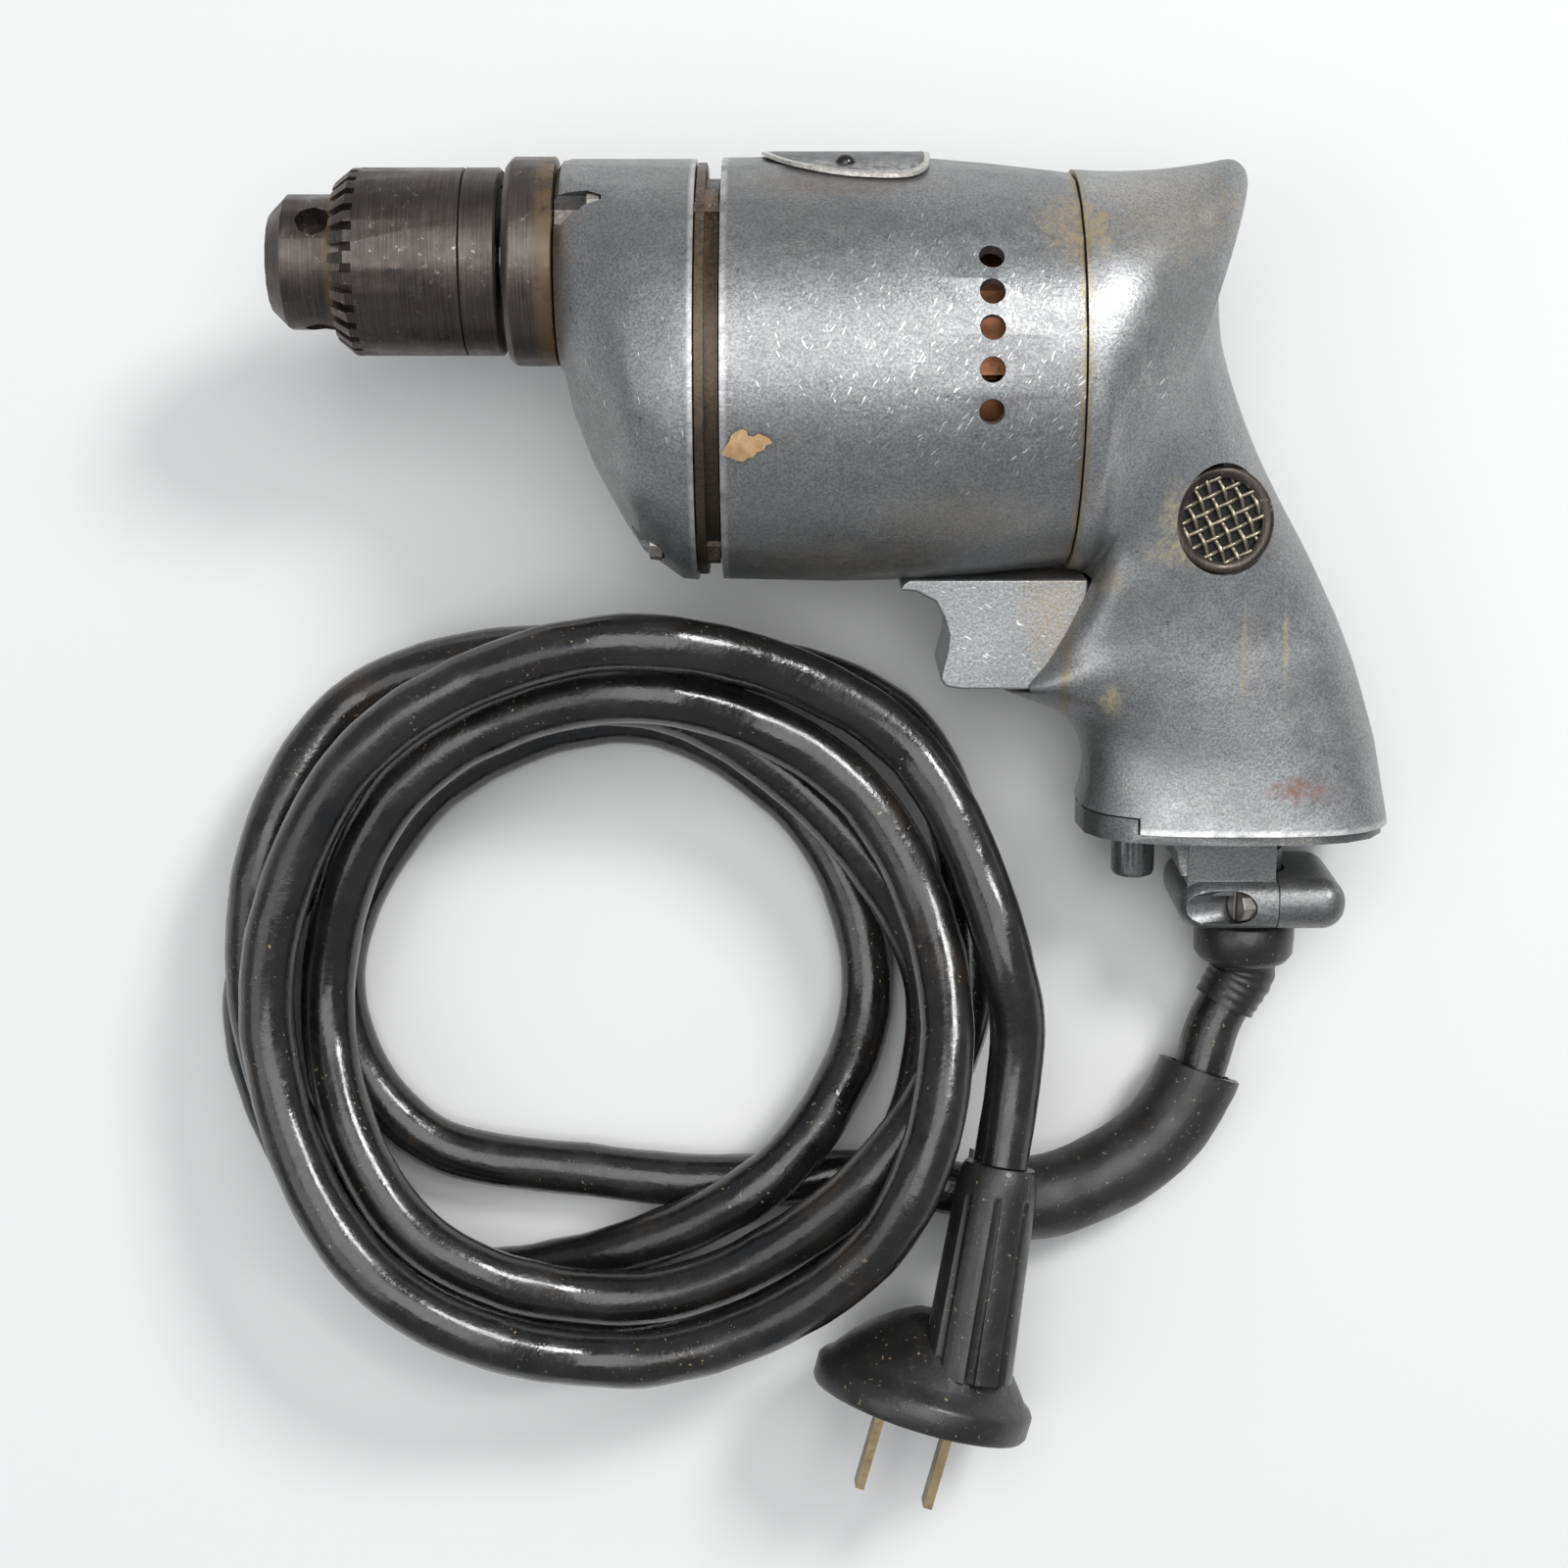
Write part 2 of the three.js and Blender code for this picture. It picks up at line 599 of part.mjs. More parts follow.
function gearPlate() {
  const rim = revolved([
    [PLATE_FRONT, 0], [PLATE_FRONT, PLATE_SPIGOT_R], [GEAR_REAR + FIT, PLATE_SPIGOT_R],
    [GEAR_REAR + FIT, PLATE_RIM_R], [PLATE_REAR, PLATE_RIM_R], [PLATE_REAR, GROOVE_FLOOR_R],
    [CASING_FRONT - FIT, GROOVE_FLOOR_R], [CASING_FRONT - FIT, GROOVE_FLOOR_R - GROOVE_FLOOR_WALL],
    [PLATE_REAR, GROOVE_FLOOR_R - GROOVE_FLOOR_WALL], [PLATE_REAR, 0],
  ], ROUND);
  const bearingRear = FRONT_BEARING_X + BEARING_WIDTH;
  const boss = rod(PLATE_REAR - CUT, bearingRear, PLATE_BOSS_R, MEDIUM);
  const lugs = screwPlaces.map(({ y, z }) => rod(PLATE_REAR - CUT, CASING_FRONT - FIT, LUG_R, SMALL, y, z));
  const bearingSeat = rod(FRONT_BEARING_X - FIT, bearingRear + CUT, BEARING_R + FIT, MEDIUM);
  const pinionHole = rod(PLATE_FRONT - CUT, PLATE_REAR, SHAFT_R + CUT, SMALL);
  const bushHole = rod(PLATE_FRONT - CUT, PLATE_REAR + CUT, BUSH_R + FIT, MEDIUM, SPINDLE_Y);
  const pinHole = rod(PLATE_FRONT - CUT, PLATE_REAR + CUT, PIN_R + FIT, SMALL, PIN_Y, PIN_Z);
  const screwHoles = screwPlaces.flatMap(({ y, z }) => [
    rod(PLATE_FRONT - CUT, CASING_FRONT + CUT, SCREW_R + FIT, SMALL, y, z),
    rod(PLATE_FRONT - CUT, GEAR_REAR + FIT, SCREW_R + FIT + GEAR_WALL / 3 + PLAY, SMALL, y, z),
  ]);
  return cut(join(rim, boss, ...lugs), bearingSeat, pinionHole, bushHole, pinHole, ...screwHoles);
}

function gearCaseScrew({ y, z, seat }) {
  const body = revolved([
    [seat - FIT - SCREW_HEAD, 0], [seat - FIT - SCREW_HEAD, SCREW_HEAD_R], [seat - FIT, SCREW_HEAD_R],
    [seat - FIT, SCREW_R], [SCREW_END, SCREW_R], [SCREW_END, 0],
  ], SMALL, y, z);
  const face = seat - FIT - SCREW_HEAD;
  const half = SLOT_WIDTH / 2;
  return cut(body, block(face - CUT, face + SLOT_DEPTH, y - CUT - SCREW_HEAD_R, y + CUT + SCREW_HEAD_R,
    z - half, z + half));
}

// Motor casing
function casingOuter() {
  const length = CASING_REAR - CASING_FRONT;
  const skin = casingShares.map(([x, r]) => [CASING_FRONT + x * length, r * CASING_R]);
  return revolved([[CASING_FRONT, 0], ...skin, [CASING_REAR, 0]], ROUND);
}

function motorCasing() {
  const bore = CASING_R - CASING_WALL;
  const inner = revolved([
    [CASING_FRONT - CUT, 0], [CASING_FRONT - CUT, bore], [CASING_TAPER, bore],
    [COMMUTATOR_REAR - (COMMUTATOR_REAR - CASING_TAPER) / 3, CASING_REAR_BORE],
    [CASING_REAR + CUT, CASING_REAR_BORE], [CASING_REAR + CUT, 0],
  ], ROUND);
  const outer = casingOuter();
  const lugs = screwPlaces.map(({ y, z }) => (
    rod(CASING_FRONT, SCREW_END + CUT * 2, LUG_R, SMALL, y, z)));
  const shell = join(cut(outer, inner), common(join(...lugs), outer));
  const flat = block(FLAT_FRONT, CASING_REAR + CUT, -CASING_R - CUT, -FLAT_DROP, -CASING_R, CASING_R);
  const holes = [1, -1].flatMap((side) => airHoleAngles.map((angle) => {
    const hole = alongZ(rod(CASING_REAR_BORE, CASING_R + CUT, AIR_HOLE_R, SMALL));
    hole.rotateX(-deg(side > 0 ? angle : 180 - angle));
    hole.translate(AIR_HOLE_X, 0, 0);
    return hole;
  }));
  const screwHoles = screwPlaces.map(({ y, z }) => (
    rod(CASING_FRONT - CUT, SCREW_END + CUT, SCREW_R + FIT, SMALL, y, z)));
  return cut(shell, flat, ...holes, ...screwHoles);
}

// Rear housing: places on its side view from shares, then its fan of sections
function sideX(share) {
  return JOINT_X + share * (GRIP_BACK - JOINT_X);
}

function sideY(share) {
  return share >= -1 ? share * HOUSING_R : -HOUSING_R + (share + 1) * GRIP_DROP;
}

function housingRing([ix, iy, ox, oy, half, innerRoundness, outerRoundness], inset, count) {
  const inner = new THREE.Vector3(sideX(ix), sideY(iy), 0);
  const outer = new THREE.Vector3(sideX(ox), sideY(oy), 0);
  const middle = inner.clone().add(outer).divideScalar(2);
  const reach = outer.clone().sub(inner);
  const length = reach.length() / 2 - inset;
  reach.normalize();
  const width = half * HOUSING_R - inset;
  return Array.from({ length: count }, (_, k) => {
    const angle = (k * TURN) / count;
    const [c, s] = [Math.cos(angle), Math.sin(angle)];
    const power = 2 / (c > 0 ? outerRoundness : innerRoundness);
    const along = Math.sign(c) * Math.abs(c) ** power * length;
    const across = Math.sign(s) * Math.abs(s) ** power * width;
    return middle.clone().addScaledVector(reach, along).add(new THREE.Vector3(0, 0, across));
  });
}

function housingOuter() {
  return lofted(housingShares.map((row) => housingRing(row, 0, RING_POINTS)));
}

// The cavity keeps out of the tongue below the trigger
function cavityRow([ix, iy, ox, oy, ...rest]) {
  const back = ix < 0 ? -ix / (ox - ix) : 0;
  return [ix + back * (ox - ix), iy + back * (oy - iy), ox, oy, ...rest];
}

function housingCavity() {
  const last = housingShares.length - 1;
  const rows = housingShares.filter((_, i) => i % 2 === 0 || i === last).map(cavityRow);
  const rings = rows.map((row) => housingRing(row, HOUSING_WALL, MEDIUM));
  const front = rings[0].map((p) => p.clone().add(new THREE.Vector3(-CUT, 0, 0)));
  const foot = rings.at(-1).map((p) => p.clone().add(new THREE.Vector3(0, -CUT, 0)));
  return lofted([front, ...rings, foot]);
}

// Lays a piece drawn about the z axis into a vent: side is +1 for the upper one
function intoVent(geometry, side) {
  const toward = deg(VENT_LEAN_TO);
  const axis = new THREE.Vector3(-Math.sin(toward), Math.cos(toward), 0);
  const turn = new THREE.Matrix4().makeRotationAxis(axis, deg(VENT_LEAN));
  geometry.applyMatrix4(turn);
  geometry.translate(VENT_X, VENT_Y, VENT_Z);
  if (side < 0) {
    geometry.scale(1, 1, -1);
  }
  return geometry;
}

function rearHousing() {
  const outer = housingOuter();
  let body = cut(outer, housingCavity());
  const mouth = slab(mouthShares.map(([x, y]) => [sideX(x), sideY(y)]), -HOUSING_R, HOUSING_R);
  const webSlab = block(WEB_FRONT, WEB_REAR, -FLAT_DROP + FIT, HOUSING_R + CUT, -HOUSING_R, HOUSING_R);
  const pads = [1, -1].map((side) => {
    const [near, far] = [SWITCH_HALF + FIT, SWITCH_HALF * 2].map((z) => z * side);
    return block(SWITCH_FRONT + PLUNGER_R * 2, SWITCH_REAR - PLUNGER_R, -SWITCH_FOOT + PLUNGER_R,
      -SWITCH_FOOT + PLUNGER_R * 2, Math.min(near, far), Math.max(near, far));
  });
  const ventSeats = [1, -1].map((side) => (
    intoVent(alongZ(rod(-VENT_RIM - CUT * 2, CUT, VENT_R + FIT + HOUSING_WALL / 2, MEDIUM)), side)));
  const capBoss = alongY(rod(-BASE_DROP + CAP_STEP, -BASE_DROP + CAP_SCREW_DEEP + CUT, CAP_BOSS_R, SMALL));
  capBoss.translate(CAP_SCREW_X, 0, 0);
  body = join(body, common(join(webSlab, ...pads, ...ventSeats, capBoss), outer));
  const windows = [1, -1].flatMap((up) => [1, -1].map((side) => (
    rod(WEB_FRONT - CUT, WEB_REAR + CUT, BEARING_R * 0.8, SMALL,
      up * BEARING_R * 1.6, side * BEARING_R * 1.6))));
  const bearingSeat = rod(WEB_FRONT - CUT, WEB_REAR + CUT, BEARING_R + FIT, MEDIUM);
  const pocket = block(FLAT_FRONT, POCKET_REAR, -LIP_TOP, -FLAT_DROP, -POCKET_HALF, POCKET_HALF);
  const grip = block(POCKET_REAR - CUT, SWITCH_REAR, -SWITCH_FOOT - FIT, -SWITCH_TOP + FIT,
    -SWITCH_HALF - FIT, SWITCH_HALF + FIT);
  const vents = [1, -1].flatMap((side) => [
    intoVent(alongZ(rod(-VENT_RIM - FIT, HOUSING_WALL * 3, VENT_R + FIT, MEDIUM)), side),
    intoVent(alongZ(rod(-VENT_RIM * 5, HOUSING_WALL, VENT_MESH_R, MEDIUM)), side),
  ]);
  const notch = block(JOINT_X, CAP_STEP_BACK + FIT, -BASE_DROP - CUT, -BASE_DROP + CAP_STEP + FIT,
    -HOUSING_R, HOUSING_R);
  const capScrew = alongY(rod(-BASE_DROP - CUT, -BASE_DROP + CAP_SCREW_DEEP + FIT, CAP_SCREW_R + FIT,
    SMALL)).translate(CAP_SCREW_X, 0, 0);
  return cut(body, mouth, bearingSeat, ...windows, pocket, grip, ...vents, notch, capScrew);
}

function ventScreen(side) {
  const rim = alongZ(pipe(-VENT_RIM, 0, VENT_MESH_R, VENT_R, MEDIUM));
  const reach = VENT_MESH_R + (VENT_R - VENT_MESH_R) / 2;
  const plate = alongZ(rod(0, MESH_THICK, reach, MEDIUM));
  const open = (MESH_PITCH - MESH_WIRE) / 2;
  const across = Math.ceil(VENT_MESH_R / MESH_PITCH);
  const gaps = [];
  for (let i = -across; i <= across; i++) {
    for (let j = -across; j <= across; j++) {
      const [x, y] = [i * MESH_PITCH, j * MESH_PITCH];
      if (Math.hypot(Math.abs(x) + open, Math.abs(y) + open) < VENT_MESH_R) {
        gaps.push(block(x - open, x + open, y - open, y + open, -CUT, MESH_THICK + CUT));
      }
    }
  }
  const net = cut(plate, ...gaps);
  net.rotateZ(deg(MESH_TURN));
  net.translate(0, 0, -VENT_RIM + MESH_THICK / 2);
  return intoVent(join(rim, net), side);
}

// Trigger
function trigger() {
  const length = TRIGGER_REAR - FLAT_FRONT - FIT;
  const height = TRIGGER_FOOT - FLAT_DROP - FIT;
  const front = triggerShares.map(([x, y]) => [TRIGGER_REAR - x * length, -FLAT_DROP - FIT - y * height]);
  const outline = [[TRIGGER_REAR, -FLAT_DROP - FIT], ...front, [TRIGGER_REAR, -TRIGGER_FOOT]];
  const body = slab(outline, -TRIGGER_HALF, TRIGGER_HALF);
  const hollow = block(TRIGGER_CORE_FRONT, TRIGGER_REAR + CUT, -TRIGGER_CORE_FOOT, -TRIGGER_CORE_TOP,
    -TRIGGER_HALF + TRIGGER_WALL, TRIGGER_HALF - TRIGGER_WALL);
  const stem = rod(TRIGGER_CORE_FRONT - CUT, SWITCH_FRONT + PLUNGER_R, PLUNGER_R, SMALL, plungerY());
  return join(cut(body, hollow), stem);
}

function plungerY() {
  return -(TRIGGER_CORE_TOP + TRIGGER_CORE_FOOT) / 2;
}

function switchBody() {
  const body = block(SWITCH_FRONT, SWITCH_REAR, -SWITCH_FOOT, -SWITCH_TOP, -SWITCH_HALF, SWITCH_HALF);
  const bore = rod(SWITCH_FRONT - CUT, SWITCH_FRONT + PLUNGER_R * 2 + TRIGGER_TRAVEL, PLUNGER_R + PLAY,
    SMALL, plungerY());
  return cut(body, bore);
}

// Spindle, collar and bearings
function spindle() {
  const flangeFront = COLLAR_FRONT - CUT;
  return revolved([
    [STUD_FRONT, 0], [STUD_FRONT, STUD_R], [flangeFront, STUD_R], [flangeFront, SPINDLE_FLANGE_R],
    [flangeFront + SPINDLE_FLANGE, SPINDLE_FLANGE_R], [flangeFront + SPINDLE_FLANGE, SPINDLE_R],
    [SPINDLE_GEAR_FRONT - FIT, SPINDLE_R], [SPINDLE_GEAR_FRONT - FIT, GEAR_SEAT_R],
    [SPINDLE_GEAR_REAR, GEAR_SEAT_R], [SPINDLE_GEAR_REAR, JOURNAL_R], [PLATE_REAR - PLAY, JOURNAL_R],
    [PLATE_REAR - PLAY, 0],
  ], MEDIUM, SPINDLE_Y);
}

function bearingCollar() {
  const rear = GEAR_FRONT - FIT;
  return revolved([
    [COLLAR_FRONT, COLLAR_LIP_R], [COLLAR_FRONT, COLLAR_R - COLLAR_BEVEL],
    [COLLAR_FRONT + COLLAR_BEVEL, COLLAR_R], [rear, COLLAR_R], [rear, BEARING_BORE_R],
    [BEARING_FRONT - FIT, BEARING_BORE_R], [BEARING_FRONT - FIT, COLLAR_LIP_R],
  ], ROUND, SPINDLE_Y);
}

// Chuck
function jawLine(x) {
  return JAW_START_R + (x - JAW_FRONT) * Math.tan(deg(JAW_TILT));
}

// A rod round a jaw's slanting line, turned to the jaw's place round the spindle
function slantedRod(x0, x1, radius) {
  const stretch = 1 / Math.cos(deg(JAW_TILT));
  const body = rod((x0 - JAW_FRONT) * stretch, (x1 - JAW_FRONT) * stretch, radius, SMALL);
  body.rotateZ(deg(JAW_TILT));
  body.translate(JAW_FRONT, JAW_START_R, 0);
  return body;
}

function atJaw(geometry, index) {
  geometry.rotateX(jawAngle(index));
  geometry.translate(0, SPINDLE_Y, 0);
  return geometry;
}

// Key holes and jaws alternate round the nose
function jawAngle(index) {
  return Math.PI / 2 - deg(KEY_HOLE_ANGLE) + TURN / 6 + (index * TURN) / 3;
}

function chuckBody() {
  const body = revolved([
    [NOSE_TIP, 0], [NOSE_TIP, NOSE_FACE_R], [NOSE_TIP + NOSE_CONE, NOSE_R], [SLEEVE_FRONT + FIT, NOSE_R],
    [SLEEVE_FRONT + FIT, CHUCK_CORE_R], [NUT_FRONT - FIT, CHUCK_CORE_R], [NUT_FRONT - FIT, GROOVE_R],
    [NUT_FRONT + NUT_LENGTH + FIT, GROOVE_R], [NUT_FRONT + NUT_LENGTH + FIT, CHUCK_CORE_R],
    [CHUCK_REAR, CHUCK_CORE_R], [CHUCK_REAR, 0],
  ], MEDIUM, SPINDLE_Y);
  const bore = rod(NOSE_TIP - CUT, STUD_FRONT, CHUCK_BORE_R, SMALL, SPINDLE_Y);
  const stud = rod(STUD_FRONT - FIT, CHUCK_REAR + CUT, STUD_R + FIT, MEDIUM, SPINDLE_Y);
  const channels = [0, 1, 2].map((i) => atJaw(slantedRod(NOSE_TIP - JAW_R, JAW_REAR + CUT, JAW_R + FIT), i));
  const keyHoles = [0, 1, 2].map((i) => {
    const hole = alongY(rod(NOSE_R - KEY_HOLE_DEPTH, NOSE_R + CUT, KEY_HOLE_R, SMALL));
    hole.translate(KEY_HOLE_X, 0, 0);
    hole.rotateX(TURN / 6);
    return atJaw(hole, i);
  });
  return cut(body, bore, stud, ...channels, ...keyHoles);
}

function chuckSleeve() {
  const bore = CHUCK_CORE_R + FIT;
  const nutBore = NUT_R + FIT;
  const nutRear = NUT_FRONT + NUT_LENGTH + FIT;
  const body = revolved([
    [SLEEVE_FRONT, NOSE_R + FIT], [SLEEVE_FRONT, SLEEVE_FACE_R], [SLEEVE_FRONT + SLEEVE_BEVEL, SLEEVE_R],
    [SCRIBE_X, SLEEVE_R], [SCRIBE_X + SCRIBE / 2, SLEEVE_R - SCRIBE], [SCRIBE_X + SCRIBE, SLEEVE_R],
    [SLEEVE_REAR - SCRIBE, SLEEVE_R], [SLEEVE_REAR, SLEEVE_R - SCRIBE], [SLEEVE_REAR, bore],
    [nutRear, bore], [nutRear, nutBore], [NUT_FRONT - FIT, nutBore], [NUT_FRONT - FIT, bore],
    [SLEEVE_FRONT, bore],
  ].filter(([x, r]) => !(x === SLEEVE_FRONT && r === NOSE_R + FIT)), ROUND, SPINDLE_Y);
  const slant = Math.atan2(SLEEVE_R - SLEEVE_FACE_R, SLEEVE_BEVEL);
  const gaps = Array.from({ length: SLEEVE_TEETH }, (_, i) => {
    const half = TOOTH_GAP / 2;
    const gap = block(-SLEEVE_BEVEL, SLEEVE_BEVEL, -TOOTH_DEPTH, SLEEVE_BEVEL, -half, half);
    gap.rotateZ(slant);
    gap.translate(SLEEVE_FRONT + SLEEVE_BEVEL / 2, (SLEEVE_R + SLEEVE_FACE_R) / 2, 0);
    gap.rotateX((i * TURN) / SLEEVE_TEETH);
    gap.translate(0, SPINDLE_Y, 0);
    return gap;
  });
  return cut(body, ...gaps);
}

function chuckJaw(index) {
  const round = slantedRod(JAW_FRONT - JAW_R, JAW_REAR, JAW_R);
  const reach = SLEEVE_R;
  const side = Math.tan(TURN / 6);
  const wedge = runAlongX([
    new THREE.Vector2(0, JAW_POINT_R), new THREE.Vector2(-reach * side, JAW_POINT_R + reach),
    new THREE.Vector2(reach * side, JAW_POINT_R + reach),
  ].map((p) => new THREE.Vector2(-p.x, p.y)), [], JAW_FRONT, JAW_REAR + JAW_R);
  return atJaw(common(round, wedge), index);
}

// Armature and field
function coreOutline() {
  const step = TURN / CORE_SLOTS;
  const floor = CORE_R * CORE_SLOT_SHARE;
  return Array.from({ length: CORE_SLOTS }, (_, i) => i * step).flatMap((a) => [
    polar(floor, a), polar(CORE_R, a + step / 8), polar(CORE_R, a + step / 2),
    polar(CORE_R, a + (step * 7) / 8),
  ]);
}

function armatureShaft() {
  const shaft = revolved([
    [PINION_FRONT + CUT, 0], [PINION_FRONT + CUT, GEAR_BORE_R / 2], [PLATE_FRONT, GEAR_BORE_R / 2],
    [PLATE_FRONT, SHAFT_R], [SHAFT_END, SHAFT_R], [SHAFT_END, 0],
  ], SMALL);
  return join(shaft, gear(PINION_TEETH, PINION_TO_WHEEL, PINION_FRONT, PLATE_FRONT, 0, 0, 0));
}

function coolingFan() {
  const hub = pipe(FAN_FRONT, FAN_FRONT + FAN_DEPTH, SHAFT_R + FIT, FAN_HUB_R, MEDIUM);
  const plate = pipe(FAN_FRONT + FAN_DEPTH - FAN_PLATE, FAN_FRONT + FAN_DEPTH, SHAFT_R + FIT, FAN_R, MEDIUM);
  const blades = Array.from({ length: FAN_BLADES }, (_, i) => {
    const blade = block(FAN_FRONT, FAN_FRONT + FAN_DEPTH - FAN_PLATE / 2, FAN_HUB_R + CUT * 2, FAN_R - CUT,
      -FAN_BLADE / 2, FAN_BLADE / 2);
    blade.rotateX((i * TURN) / FAN_BLADES);
    return blade;
  });
  return join(hub, plate, ...blades);
}

// An arc of a ring between two angles measured from up, both ways round
function arcBar(bore, radius, from, to, x0, x1) {
  const count = Math.ceil((to - from) / (180 / MEDIUM)) + 1;
  const angle = (k) => Math.PI / 2 + deg(from + ((to - from) * k) / count);
  const outside = Array.from({ length: count + 1 }, (_, k) => polar(radius, angle(k)));
  const inside = Array.from({ length: count + 1 }, (_, k) => polar(bore, angle(count - k)));
  return runAlongX([...outside, ...inside], [], x0, x1);
}

function fieldCore() {
  const ring = pipe(FIELD_FRONT, FIELD_REAR, POLE_BORE_R, CASING_R - CASING_WALL - FIT, ROUND);
  const windows = [0, 180].map((turn) => arcBar(POLE_BORE_R - CUT, FIELD_WINDOW_R,
    turn + POLE_HALF_ANGLE, turn + 180 - POLE_HALF_ANGLE, FIELD_FRONT - CUT, FIELD_REAR + CUT));
  return cut(ring, ...windows);
}

function fieldCoil(up) {
  const full = arcBar(COIL_IN_R, COIL_OUT_R, -COIL_SIDE_ANGLE, COIL_SIDE_ANGLE,
    FIELD_FRONT - COIL_OVERHANG, FIELD_REAR + COIL_OVERHANG);
  const window = arcBar(COIL_IN_R - CUT, COIL_OUT_R + CUT, -COIL_WINDOW_ANGLE, COIL_WINDOW_ANGLE,
    FIELD_FRONT - FIT, FIELD_REAR + FIT);
  const coil = cut(full, window);
  coil.rotateX(up ? 0 : Math.PI);
  return coil;
}

function brushHolder(side) {
  const half = BRUSH_WIDTH / 2 + FIT;
  const out = half + HOLDER_WALL;
  const tube = cut(
    block(BRUSH_X - out, BRUSH_RING_FRONT, -out, out, HOLDER_START, HOLDER_END),
    block(BRUSH_X - half, BRUSH_X + half, -half, half, HOLDER_START - CUT, HOLDER_END - HOLDER_WALL),
  );
  tube.rotateX(side > 0 ? 0 : Math.PI);
  return tube;
}

function carbonBrush(side) {
  const half = BRUSH_WIDTH / 2;
  const brush = block(BRUSH_X - half, BRUSH_X + half, -half, half, COMMUTATOR_R + PLAY, BRUSH_END);
  brush.rotateX(side > 0 ? 0 : Math.PI);
  return brush;
}

// Base cap and clamp
function ovalPlan(x0, x1, half, roundness) {
  return Array.from({ length: RING_POINTS }, (_, k) => {
    const angle = (k * TURN) / RING_POINTS;
    const [c, s] = [Math.cos(angle), Math.sin(angle)];
    return [
      (x0 + x1) / 2 + Math.sign(c) * Math.abs(c) ** (2 / roundness) * ((x1 - x0) / 2),
      Math.sign(s) * Math.abs(s) ** (2 / roundness) * half,
    ];
  });
}

// The clamp is one rounded bar across the lead, cut into a bracket and a cap
function clampBar() {
  const half = CLAMP_HEIGHT / 2;
  const swells = [0, 0.12, 0.4, 1].map((t) => [t * CLAMP_CORNER, Math.sqrt(1 - (1 - t) ** 2)]);
  const places = [
    ...swells.map(([x, swell]) => [BRACKET_FRONT + x, swell]),
    ...swells.map(([x, swell]) => [CLAMP_BACK - x, swell]).reverse(),
  ];
  return lofted(places.map(([x, swell]) => {
    const height = half * (1 + 2 * swell) / 3;
    const width = CLAMP_HALF - (1 - swell) * half;
    return ovalPlan(-height, height, width, CLAMP_SQUARENESS)
      .map(([y, z]) => new THREE.Vector3(x, clampMiddle() + y, z));
  }));
}

function clampPart(x0, x1) {
  return common(clampBar(), block(x0, x1, -CLAMP_FOOT - CUT, -CLAMP_TOP + CUT,
    -CLAMP_HALF - CUT, CLAMP_HALF + CUT));
}

function baseCap() {
  const plate = runAlongY(ovalPlan(CAP_FRONT, CAP_BACK, CAP_HALF, CAP_ROUNDNESS),
    -BASE_DROP - FIT - CAP_PLATE, -BASE_DROP - FIT);
  const step = common(
    runAlongY(ovalPlan(CAP_FRONT, CAP_BACK, CAP_HALF, CAP_ROUNDNESS), -BASE_DROP - CUT,
      -BASE_DROP + CAP_STEP),
    block(JOINT_X, CAP_STEP_BACK, -BASE_DROP - CUT, -BASE_DROP + CAP_STEP, -CAP_HALF, CAP_HALF),
  );
  const plateFoot = -BASE_DROP - FIT - CAP_PLATE;
  const post = alongY(revolved([
    [-POST_END, 0], [-POST_END, POST_R - POST_BEVEL], [-POST_END + POST_BEVEL, POST_R],
    [plateFoot + CAP_PLATE / 2, POST_R], [plateFoot + CAP_PLATE / 2, 0],
  ], SMALL)).translate(POST_X, 0, 0);
  const neck = block(NECK_FRONT, NECK_BACK, -CLAMP_TOP - CUT, plateFoot + CAP_PLATE / 2,
    -NECK_HALF, NECK_HALF);
  const bracket = clampPart(BRACKET_FRONT - CUT, CLAMP_SPLIT - FIT);
  const cordHole = alongY(rod(-CLAMP_FOOT - CUT, -BASE_DROP + CAP_STEP + CUT, CORD_HOLE_R, MEDIUM));
  cordHole.translate(CORD_X, 0, 0);
  const screwHole = alongY(rod(plateFoot - CUT, -BASE_DROP + CUT, CAP_SCREW_R + FIT, SMALL));
  screwHole.translate(CAP_SCREW_X, 0, 0);
  return cut(join(plate, step, post, neck, bracket), cordHole, screwHole, ...clampScrewHoles());
}

function clampMiddle() {
  return -(CLAMP_TOP + CLAMP_FOOT) / 2;
}

// Lays a piece drawn along x from a clamp screw's slotted face into its slanting place
function atClampScrew(geometry, side) {
  geometry.rotateY(side * deg(CLAMP_SCREW_SLANT));
  geometry.translate(CLAMP_SCREW_X, clampMiddle(), side * CLAMP_SCREW_Z);
  return geometry;
}

// Screw holes through both halves of the clamp, with channels that let the driver in from the side
function clampScrewHoles() {
  return [1, -1].flatMap((side) => [
    atClampScrew(rod(-CLAMP_HALF, CLAMP_SCREW_HEAD + FIT, CLAMP_HEAD_R + FIT, SMALL), side),
    atClampScrew(rod(0, CLAMP_SCREW_LENGTH + FIT, CLAMP_SCREW_R + FIT, SMALL), side),
  ]);
}

function clampCap() {
  const cordHole = alongY(rod(-CLAMP_FOOT - CUT, -CLAMP_TOP + CUT, CORD_HOLE_R, MEDIUM));
  cordHole.translate(CORD_X, 0, 0);
  return cut(clampPart(CLAMP_SPLIT, CLAMP_BACK + CUT), cordHole, ...clampScrewHoles());
}

